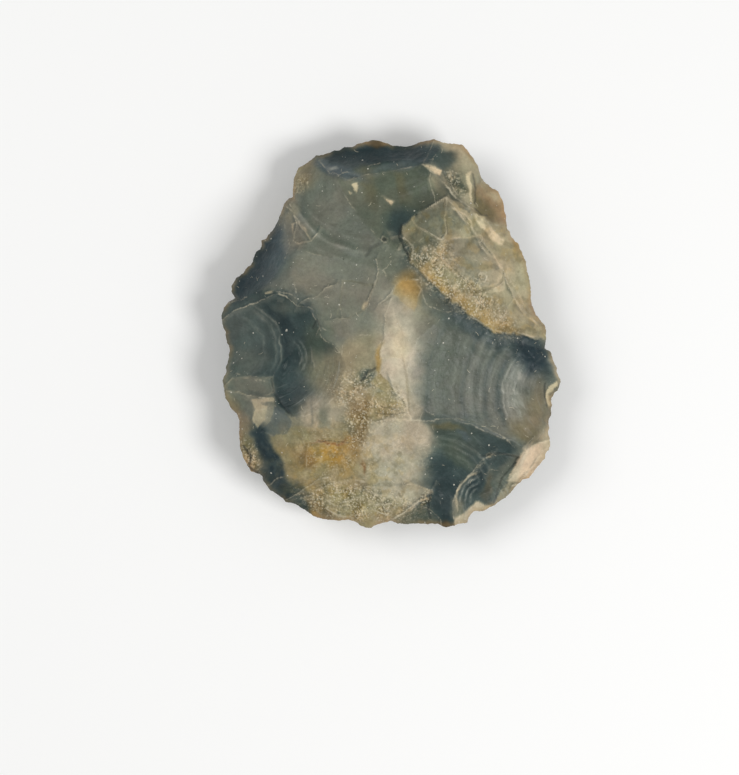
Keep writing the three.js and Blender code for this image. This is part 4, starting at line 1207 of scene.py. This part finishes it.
def upper_face(x, y):
    """Drop, colours and material fields of the upper face."""
    scars = list(UPPER_SCARS.values())
    names = list(UPPER_SCARS)
    ripples = {names.index(name): ripple for name, ripple in RIPPLES.items()}
    drop, fields = face_relief(scars, ripples, UPPER_TRIM, x, y, UPPER_SEED)
    ragged = wander(x, y, UPPER_PAINT_SEED)

    inside = polygon_depth(PLATEAU, *wander(x, y, UPPER_PAINT_SEED, TORN))
    on_plateau = smoothstep(*PLATEAU_BORDER, inside)
    bank = smoothstep(*PLATEAU_BANK, -inside) * (1 - smoothstep(PLATEAU_BANK[1], PLATEAU_FADE, -inside))
    drop = drop + PLATEAU_STEP * bank
    crumble = crumble_weight(x, y, ragged)
    lift, crest = crumble_relief(crumble, x, y, UPPER_PAINT_SEED + 40)
    drop = drop - lift

    tones = [SCAR_COLOURS[name] for name in names] + [(GROUND, 1)]
    colours = scar_colours(scars, tones, fields["arris"], x, y, UPPER_SEED)
    plateau_colour, plateau_strength = PLATEAU_COLOUR
    colours = paint(colours, plateau_colour, plateau_strength * on_plateau)
    facet_drop, facet_rim_highlights, colours, chips = cut_facets(colours, x, y, ragged)
    drop = drop + facet_drop
    colours = paint_patches(colours, x, y, on_plateau)
    for chip_colour, chip_weight in chips:
        colours = paint(colours, chip_colour, chip_weight)

    foot = patch_weight(*ragged, *STAINED_FOOT)
    stained = np.clip(STAINED_PLATEAU * on_plateau + crumble + FOOT_STRENGTH * foot, 0, 1)
    colours = paint_stains(colours, x, y, stained)
    # painted sheen of light on the ripples and painted shade between them
    colours = paint_ripple_sheen_and_shade(colours, x, y, ragged)
    colours = crumble_tones_and_shading(colours, crumble, crest)
    # pale facet rims: a painted highlight along the facets' edges
    rim_stretches = clouds(x, y, UPPER_PAINT_SEED + 136, *RIM_CLOUDS)
    colours = paint(colours, "cream", RIM_HIGHLIGHT_STRENGTH * facet_rim_highlights * rim_stretches)
    drop, colours, lines = draw_seams(drop, colours, x, y)
    return drop, colours, {**fields, **lines, "crumble": crumble}


def under_face(x, y):
    """The same for the underside, which has no patches, seams or facets of its own."""
    scars = under_scars()
    ripples = {index: (*struck_point(scar), scar[4], *UNDER_RIPPLE) for index, scar in enumerate(scars)}
    drop, fields = face_relief(scars, ripples, UNDER_TRIM, x, y, UNDER_SEED)

    tones = [(UNDER_TONES[UNDER_STRIDE * index % len(UNDER_TONES)], 1) for index in range(len(scars) + 1)]
    colours = scar_colours(scars, tones, fields["arris"], x, y, UNDER_SEED)
    cloud = layered_noise(x, y, 18.0, UNDER_PAINT_SEED + 20)
    second = layered_noise(x, y, 9.0, UNDER_PAINT_SEED + 40)
    ochre = smoothstep(0.2, 0.5, -second) * smoothstep(0.0, 0.3, -cloud)
    colours = paint(colours, "deep_slate", 0.5 * smoothstep(0.1, 0.5, cloud))
    colours = paint(colours, "tan_grey", 0.6 * smoothstep(0.1, 0.5, -cloud))
    colours = paint(colours, "ochre_dun", 0.5 * ochre)
    crumble = smoothstep(0.35, 0.7, -cloud) * smoothstep(-0.2, 0.3, second)
    lift, crest = crumble_relief(crumble, x, y, UNDER_PAINT_SEED + 60)
    colours = crumble_tones_and_shading(colours, crumble, crest)
    far = np.full_like(x, LINE_FAR)
    none = np.zeros_like(x)
    lines = {"seam": far, "seam_strength": none, "crack": far, "crack_strength": none}
    return drop - lift, colours, {**fields, **lines, "crumble": crumble}


def brown_edge(colours, inset, angle, seed):
    """The thin edge lets light through and looks brown."""
    patchy = smoothstep(-0.4, 0.5, lattice_noise(angle * 9, angle * 0, seed))
    weight = EDGE_BROWN * (1 - smoothstep(*EDGE_BROWN_REACH, inset))
    weight = weight * (EDGE_BROWN_LEAST + (1 - EDGE_BROWN_LEAST) * patchy)
    return paint(colours, "brown", weight)


# ---------------------------------------------------------------- mesh


def ring_angles(count):
    """Directions from the middle to points spread evenly along the edge, one on each corner."""
    corner = np.array([(x, y) for x, y, _ in CORNERS])
    angle = np.arctan2(corner[:, 1], corner[:, 0]) % TURN
    order = np.argsort(angle)
    corner = corner[order]
    angle = angle[order]
    run = np.hypot(*(np.roll(corner, -1, axis=0) - corner).T)
    share = np.round(np.concatenate([[0], np.cumsum(run)]) / run.sum() * count) / count
    angle = np.append(angle, angle[0] + TURN)

    def angle_at(part):
        return np.interp(part, share, angle)

    return angle_at


def disc_points(rings, angle_at):
    """Points of a disc, ring by ring: ring k has 6k of them."""
    shares = [np.zeros(1)]
    parts = [np.zeros(1)]
    for ring in range(1, rings + 1):
        parts.append(np.arange(6 * ring) / (6 * ring))
        shares.append(np.full(6 * ring, ring / rings))
    share = np.concatenate(shares)
    angle = angle_at(np.concatenate(parts))
    egg = egg_radius(angle)
    radius = share * (egg + (notched_radius(angle) - egg) * share**JAG_FADE)
    return radius * np.cos(angle), radius * np.sin(angle), share


def strip(inner, outer):
    """Triangles between two closed rings of vertex numbers, counter-clockwise."""
    triangles = []
    i = 0
    o = 0
    while i < len(inner) or o < len(outer):
        base = (inner[i % len(inner)], outer[o % len(outer)])
        if (o + 1) * len(inner) <= (i + 1) * len(outer):
            o += 1
            triangles.append((*base, outer[o % len(outer)]))
        else:
            i += 1
            if len(inner) > 1:
                triangles.append((*base, inner[i % len(inner)]))
    return triangles


def ring_numbers(rings, start):
    """The vertex numbers of each ring, from the middle outwards."""
    rows = [[start]]
    number = start + 1
    for ring in range(1, rings + 1):
        rows.append(list(range(number, number + 6 * ring)))
        number += 6 * ring
    return rows


def face_points(scars, crown, side, rings, relief, angle_at, seed):
    """Points, colours and fields of one face: side is 1 above the edge and -1 below it."""
    x, y, share = disc_points(rings, angle_at)
    reach = SNAP_REACH * egg_radius(np.arctan2(y, x)) / rings
    inner = share < 1
    snapped_x, snapped_y = snap_to_arrises(scars, x, y, reach, seed)
    x = np.where(inner, snapped_x, x)
    y = np.where(inner, snapped_y, y)
    angle = np.arctan2(y, x)
    radius = np.hypot(x, y)
    rim = notched_radius(angle)
    inset = np.where(inner, np.maximum(rim - radius, 0), 0)
    drop, colours, fields = relief(x, y)
    dome = crown * (1 - (radius / (egg_radius(angle) * DOME_REACH)) ** 2)
    swell = 1 - np.exp(-inset / EDGE_BLUNTNESS)
    body = np.maximum(dome - drop, LEAST_SWELL)
    height = edge_height(angle, radius / rim) + side * swell * body
    colours = brown_edge(colours, inset, angle, seed)
    return np.stack([x, y, np.maximum(height, 0)], axis=1), colours, fields


def fit_to_box(points, low, high):
    """Scales and moves the points so that they fill the CAD model's box."""
    floor = points.min(axis=0)
    size = points.max(axis=0) - floor
    return (points - floor) / size * (high - low) + low


def linear_colours(colours):
    """Linear colours with alpha, from display colours between 0 and 1."""
    colours = np.clip(colours, 0, 1)
    linear = np.where(colours <= 0.04045, colours / 12.92, ((colours + 0.055) / 1.055) ** 2.4)
    return np.concatenate([linear, np.ones((len(linear), 1))], axis=1)


def bake_map(mesh, points):
    """A flat map for export: the upper face on the left half, the underside on the right."""
    layer = mesh.uv_layers.new(name="OFBake")
    corner_vertex = np.empty(len(mesh.loops), np.int32)
    mesh.loops.foreach_get("vertex_index", corner_vertex)
    face_number = np.repeat(np.arange(len(mesh.polygons)), 3)
    low = points.min(axis=0)
    size = points.max(axis=0) - low
    place = (points[corner_vertex, :2] - low[:2]) / size[:2]
    upper = face_number < 6 * UPPER_RINGS**2
    u = np.where(upper, 0.01 + 0.48 * place[:, 0], 0.99 - 0.48 * place[:, 0])
    v = 0.01 + 0.98 * place[:, 1]
    layer.data.foreach_set("uv", np.stack([u, v], axis=1).ravel())


def sharpen_rim(mesh, first, last):
    """Marks the edges between the rim's vertices as sharp."""
    edges = np.empty(2 * len(mesh.edges), np.int32)
    mesh.edges.foreach_get("vertices", edges)
    on_rim = (edges.reshape(-1, 2) >= first) & (edges.reshape(-1, 2) <= last)
    sharp = mesh.attributes.new("sharp_edge", "BOOLEAN", "EDGE")
    sharp.data.foreach_set("value", on_rim.all(axis=1))


def make_hand_axe():
    angle_at = ring_angles(6 * UPPER_RINGS)
    upper, upper_colours, upper_fields = face_points(
        list(UPPER_SCARS.values()), UPPER_CROWN, 1, UPPER_RINGS, upper_face, angle_at, UPPER_SEED)
    under, under_colours, under_fields = face_points(
        under_scars(), UNDER_CROWN, -1, UNDER_RINGS, under_face, angle_at, UNDER_SEED)

    # the underside ends one ring short of the edge, whose points are the upper face's
    kept = 1 + 3 * (UNDER_RINGS - 1) * UNDER_RINGS
    points = np.concatenate([upper, under[:kept]])
    colours = np.concatenate([upper_colours, under_colours[:kept]])
    upper_rows = ring_numbers(UPPER_RINGS, 0)
    rim = upper_rows[-1]
    under_rows = ring_numbers(UNDER_RINGS - 1, len(upper)) + [rim]
    triangles = []
    for inner, outer in zip(upper_rows, upper_rows[1:]):
        triangles += strip(inner, outer)
    for inner, outer in zip(under_rows, under_rows[1:]):
        triangles += [(a, c, b) for a, b, c in strip(inner, outer)]

    points = fit_to_box(points, np.array(cad_box[0]), np.array(cad_box[1]))
    mesh = bpy.data.meshes.new("flint")
    mesh.from_pydata(points.tolist(), [], triangles)
    mesh.shade_smooth()

    tone = mesh.attributes.new("tone", "FLOAT_COLOR", "POINT")
    tone.data.foreach_set("color", linear_colours(colours).ravel())
    for name, values in upper_fields.items():
        field = mesh.attributes.new(name, "FLOAT", "POINT")
        field.data.foreach_set("value", np.concatenate([values, under_fields[name][:kept]]))
    bake_map(mesh, points)
    sharpen_rim(mesh, rim[0], rim[-1])

    body = bpy.data.objects.new("flint_body", mesh)
    bpy.context.scene.collection.objects.link(body)
    return body


# ---------------------------------------------------------------- material

NOISE_LOW = 0.3  # most of a noise texture lies between these
NOISE_HIGH = 0.7

# Short nicks and scratches: cells a millimetre, half length, half width, rarity.
NICKS = ((0.28, 0.6, 0.04, 0.84), (0.55, 0.3, 0.035, 0.88))
NICK_BOW = 0.3  # how far a nick bends, as a part of its length
# White specks, painted glints of light: cells a millimetre, size, rarity.
GLINTS = ((0.9, 0.15, 0.8), (0.45, 0.09, 0.78), (1.8, 0.15, 0.8), (0.2, 0.06, 0.7))
GLINT_RAGGED = 0.4  # raggedness and softness of a speck's border, as parts of its size
GLINT_SOFT = 0.3

# Strength of each mark in the colour.
RIPPLE_CREST = 0.3
RIPPLE_TROUGH = 0.4
CRYSTAL = 0.6
PIT = 0.5
# the pale arris line is a painted highlight
ARRIS_HIGHLIGHT = 0.22
SEAM = 0.85
CRACK_SHADE = 0.75
NICK = 0.6
GLINT = 0.7

# Fine relief that the shader adds, in millimetres.
BUMP_RIPPLE = 0.25
BUMP_FINE = 0.04
BUMP_SWELL = 0.2
BUMP_CRYSTAL = -0.3
BUMP_SEAM = 0.06

SATIN = (0.36, 0.5)  # roughness, from the glossiest stone to the dullest
CRUMBLE_ROUGHNESS = 0.3  # added where the stone is crumbly
SPECULAR = 0.22


class Nodes:
    """Adds and links the nodes of one material."""

    def __init__(self, material):
        self.tree = material.node_tree
        self.tree.nodes.clear()

    def add(self, kind, inputs, output=0, **settings):
        """Adds a node and gives back one of its outputs, or the node itself when that is None."""
        node = self.tree.nodes.new(kind)
        for name, value in settings.items():
            setattr(node, name, value)
        for name, value in inputs.items():
            socket = node.inputs[name]
            if isinstance(value, bpy.types.NodeSocket):
                self.tree.links.new(value, socket)
            else:
                socket.default_value = value
        return node if output is None else node.outputs[output]

    def field(self, name, output="Fac"):
        return self.add("ShaderNodeAttribute", {}, output, attribute_name=name)

    def math(self, operation, first, second=0.0):
        return self.add("ShaderNodeMath", {0: first, 1: second}, operation=operation)

    def plus(self, first, second):
        return self.math("ADD", first, second)

    def times(self, first, second):
        return self.math("MULTIPLY", first, second)

    def ramp(self, value, low, high, to_low=0.0, to_high=1.0):
        inputs = {"Value": value, "From Min": low, "From Max": high, "To Min": to_low, "To Max": to_high}
        return self.add("ShaderNodeMapRange", inputs, interpolation_type="SMOOTHSTEP")

    def spread(self, noise, low, high):
        """Brings a noise to the range from low to high."""
        return self.ramp(noise, NOISE_LOW, NOISE_HIGH, low, high)

    def mix(self, amount, first, second, blend="MIX"):
        inputs = {0: amount, 6: first, 7: second}
        return self.add("ShaderNodeMix", inputs, 2, data_type="RGBA", blend_type=blend)

    def coat(self, colour, mask, strength, rgb):
        """Lays one flat colour over the colour."""
        return self.mix(self.times(mask, strength), colour, rgba(rgb))

    def noise(self, place, scale, detail=2.0, roughness=0.5):
        inputs = {"Vector": place, "Scale": scale, "Detail": detail, "Roughness": roughness}
        return self.add("ShaderNodeTexNoise", inputs)

    def voronoi(self, place, scale, output="Distance"):
        return self.add("ShaderNodeTexVoronoi", {"Vector": place, "Scale": scale}, output)


def rgba(colour):
    return tuple(linear_colours(np.array([colour], float) / 255)[0])


def add_nicks(nodes, colour, millimetres):
    """Short nicks and scratches, one in some cells, each turned its own way."""
    for scale, length, width, rarity in NICKS:
        cell = nodes.voronoi(millimetres, scale, None)
        from_middle = {0: millimetres, 1: cell.outputs["Position"]}
        offset = nodes.add("ShaderNodeVectorMath", from_middle, operation="SUBTRACT")
        chance = nodes.add("ShaderNodeSeparateColor", {0: cell.outputs["Color"]}, None)
        angle = nodes.times(chance.outputs[0], TURN)
        spin = {"Vector": offset, "Angle": angle}
        parts = nodes.add("ShaderNodeVectorRotate", spin, rotation_type="Z_AXIS")
        parts = nodes.add("ShaderNodeSeparateXYZ", {0: parts}, None)
        along = nodes.math("DIVIDE", nodes.math("ABSOLUTE", parts.outputs[0]), length)
        bow = nodes.times(nodes.times(along, along), NICK_BOW * length)
        aside = nodes.math("ABSOLUTE", nodes.math("SUBTRACT", parts.outputs[1], bow))
        aside = nodes.math("DIVIDE", aside, width)
        mark = nodes.times(nodes.ramp(along, 0.6, 1.0, 1.0, 0.0), nodes.ramp(aside, 0.5, 1.5, 1.0, 0.0))
        mark = nodes.times(mark, nodes.ramp(chance.outputs[1], rarity, rarity + 0.1))
        colour = nodes.coat(colour, mark, NICK, PALE_LINE_AND_HIGHLIGHT_COLOUR)
    return colour


def add_glints(nodes, colour, millimetres, ragged):
    """Painted glints of light: white specks in the cells that chance picks."""
    for scale, size, rarity in GLINTS:
        stray = nodes.spread(ragged, -GLINT_RAGGED * size, GLINT_RAGGED * size)
        distance = nodes.plus(nodes.voronoi(millimetres, scale), stray)
        pick = nodes.add("ShaderNodeSeparateColor", {0: nodes.voronoi(millimetres, scale, "Color")})
        reach = nodes.times(nodes.ramp(pick, rarity, 1.0), size)
        glint = nodes.ramp(nodes.math("SUBTRACT", reach, distance), 0.0, GLINT_SOFT * size)
        colour = nodes.coat(colour, glint, GLINT, GLINT_COLOUR)
    return colour


def flint_material():
    material = bpy.data.materials.new("flint")
    material.use_nodes = True
    nodes = Nodes(material)
    place = nodes.add("ShaderNodeTexCoord", {}, "Object")
    millimetres = nodes.add("ShaderNodeVectorMath", {0: place, "Scale": 1 / MM}, operation="SCALE")

    # cloudy body colour
    fine = nodes.noise(millimetres, 1.6, 4.0, 0.7)
    cloud = nodes.noise(millimetres, 0.3, 4.0, 0.55)
    shade = nodes.times(nodes.spread(fine, 0.9, 1.1), nodes.spread(cloud, 0.86, 1.14))
    warmth = nodes.times(shade, nodes.spread(nodes.noise(millimetres, 0.17, 2.0), 0.95, 1.06))
    tint = nodes.add("ShaderNodeCombineColor", {0: warmth, 1: shade, 2: shade})
    colour = nodes.mix(1.0, nodes.field("tone", "Color"), tint, "MULTIPLY")

    # ripples: crests lighter and troughs darker, partly the stone's banding and partly painted highlight
    # and shade of the ripple relief
    place_in_scar = {0: nodes.field("ripple_run"), 1: nodes.field("ripple_turn")}
    across = nodes.add("ShaderNodeCombineXYZ", place_in_scar)
    wave = nodes.math("SUBTRACT", nodes.noise(across, 1.1, 3.0, 0.55), 0.5)
    ripple = nodes.times(wave, nodes.field("ripple_colour"))
    colour = nodes.coat(colour, nodes.ramp(ripple, 0.02, 0.2), RIPPLE_CREST, RIPPLE_CREST_BAND_AND_HIGHLIGHT)
    colour = nodes.coat(colour, nodes.ramp(ripple, -0.02, -0.22), RIPPLE_TROUGH, RIPPLE_TROUGH_BAND_AND_SHADE)

    # crystalline grain of the crumbly patches
    crumble = nodes.field("crumble")
    crystals = nodes.voronoi(millimetres, 1.9)
    sparkle = nodes.times(nodes.ramp(crystals, 0.2, 0.45, 1.0, 0.0), crumble)
    colour = nodes.coat(colour, sparkle, CRYSTAL, CRYSTAL_COLOUR)
    pits = nodes.ramp(nodes.noise(millimetres, 1.9, 3.0, 0.7), 0.52, 0.7)
    colour = nodes.coat(colour, nodes.times(pits, crumble), PIT, PIT_COLOUR)

    # pale arrises and seams, dark cracks: the pale arris line is a painted highlight, a seam's pale line is
    # a painted highlight on arrises and rims and the stone's own vein elsewhere, and a crack's dark is
    # painted shade
    ragged = nodes.noise(millimetres, 1.8, 2.0, 0.5)
    stretches = nodes.noise(millimetres, 0.28, 2.0, 0.5)
    arris = nodes.plus(nodes.field("arris"), nodes.spread(ragged, -0.08, 0.12))
    arris = nodes.times(nodes.ramp(arris, 0.04, 0.2, 1.0, 0.0), nodes.ramp(stretches, 0.5, 0.6))
    colour = nodes.coat(colour, arris, ARRIS_HIGHLIGHT, PALE_LINE_AND_HIGHLIGHT_COLOUR)
    seam = nodes.plus(nodes.field("seam"), nodes.spread(ragged, -0.4, 0.4))
    seam = nodes.times(nodes.ramp(seam, 0.0, 1.8, 1.0, 0.0), nodes.field("seam_strength"))
    seam = nodes.times(seam, nodes.ramp(stretches, 0.36, 0.52, 0.25, 1.0))
    colour = nodes.coat(colour, seam, SEAM, PALE_LINE_AND_HIGHLIGHT_COLOUR)
    crack = nodes.times(nodes.ramp(nodes.field("crack"), 0.3, 1.5, 1.0, 0.0), nodes.field("crack_strength"))
    colour = nodes.coat(colour, crack, CRACK_SHADE, CRACK_SHADE_COLOUR)
    colour = add_nicks(nodes, colour, millimetres)
    colour = add_glints(nodes, colour, millimetres, ragged)

    # surface
    roughness = nodes.spread(nodes.noise(millimetres, 0.6, 3.0), *SATIN)
    roughness = nodes.plus(roughness, nodes.times(crumble, CRUMBLE_ROUGHNESS))
    bumps = (
        (fine, BUMP_FINE),
        (nodes.noise(millimetres, 0.7, 3.0), BUMP_SWELL),
        (nodes.times(crystals, crumble), BUMP_CRYSTAL),
        (seam, BUMP_SEAM),
    )
    relief = nodes.times(ripple, BUMP_RIPPLE)
    for bump, height in bumps:
        relief = nodes.plus(relief, nodes.times(bump, height))
    normal = nodes.add("ShaderNodeBump", {"Height": relief, "Distance": MM, "Strength": 1.0})
    look = {"Base Color": colour, "Roughness": roughness, "Specular IOR Level": SPECULAR, "Normal": normal}
    shader = nodes.add("ShaderNodeBsdfPrincipled", look)
    nodes.add("ShaderNodeOutputMaterial", {"Surface": shader}, None)
    return material


# ---------------------------------------------------------------- stage

PICTURE_SPAN = 150.984  # millimetres that the longer side of the picture takes in
CAMERA_AT = (-4.208, -10.501)  # from the middle of the outline, so that the picture is framed as the photo
SENSOR = 36.0
LENS = 200.0
FLOOR_HALF = 1.5  # metres
FLOOR_COLOUR = (0.93, 0.93, 0.92, 1)
FLOOR_ROUGHNESS = 0.9
SKY_STRENGTH = 0.37
LAMP_DISTANCE = 0.8  # metres
# Lamps: name, azimuth and elevation in degrees, size in metres, watts.
LAMPS = (("key", -25, 50, 0.35, 3.6), ("fill", 155, 50, 0.5, 2.2))


def make_floor():
    mesh = bpy.data.meshes.new("floor")
    corners = [(x * FLOOR_HALF, y * FLOOR_HALF, 0) for x, y in ((-1, -1), (1, -1), (1, 1), (-1, 1))]
    mesh.from_pydata(corners, [], [(0, 1, 2, 3)])
    material = bpy.data.materials.new("floor")
    material.use_nodes = True
    shader = material.node_tree.nodes["Principled BSDF"]
    shader.inputs["Base Color"].default_value = FLOOR_COLOUR
    shader.inputs["Roughness"].default_value = FLOOR_ROUGHNESS
    mesh.materials.append(material)
    floor = bpy.data.objects.new("floor", mesh)
    bpy.context.scene.collection.objects.link(floor)


def add_lamp(name, azimuth, elevation, size, power):
    light = bpy.data.lights.new(name, "AREA")
    light.shape = "DISK"
    light.size = size
    light.energy = power
    lamp = bpy.data.objects.new(name, light)
    bpy.context.scene.collection.objects.link(lamp)
    azimuth = math.radians(azimuth)
    elevation = math.radians(elevation)
    lamp.location = (
        LAMP_DISTANCE * math.cos(elevation) * math.cos(azimuth),
        LAMP_DISTANCE * math.cos(elevation) * math.sin(azimuth),
        LAMP_DISTANCE * math.sin(elevation),
    )
    lamp.rotation_mode = "QUATERNION"
    lamp.rotation_quaternion = lamp.location.to_track_quat("Z", "Y")


def light_the_stage():
    world = bpy.data.worlds.new("studio")
    world.use_nodes = True
    background = world.node_tree.nodes["Background"]
    background.inputs["Color"].default_value = (1, 1, 1, 1)
    background.inputs["Strength"].default_value = SKY_STRENGTH
    bpy.context.scene.world = world
    bpy.context.scene.view_settings.view_transform = "Standard"
    for lamp in LAMPS:
        add_lamp(*lamp)


def add_camera():
    """Looks straight down; unturned, a camera faces along -Z with +Y up."""
    camera = bpy.data.cameras.new("camera")
    camera.lens = LENS
    camera.sensor_width = SENSOR
    holder = bpy.data.objects.new("camera", camera)
    bpy.context.scene.collection.objects.link(holder)
    height = EDGE_HEIGHT + LENS * PICTURE_SPAN / SENSOR
    holder.location = (CAMERA_AT[0] * MM, CAMERA_AT[1] * MM, height * MM)
    bpy.context.scene.camera = holder


axe = make_hand_axe()
axe.data.materials.append(flint_material())
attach(axe, "root")
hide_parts("hand_axe")
make_floor()
light_the_stage()
add_camera()
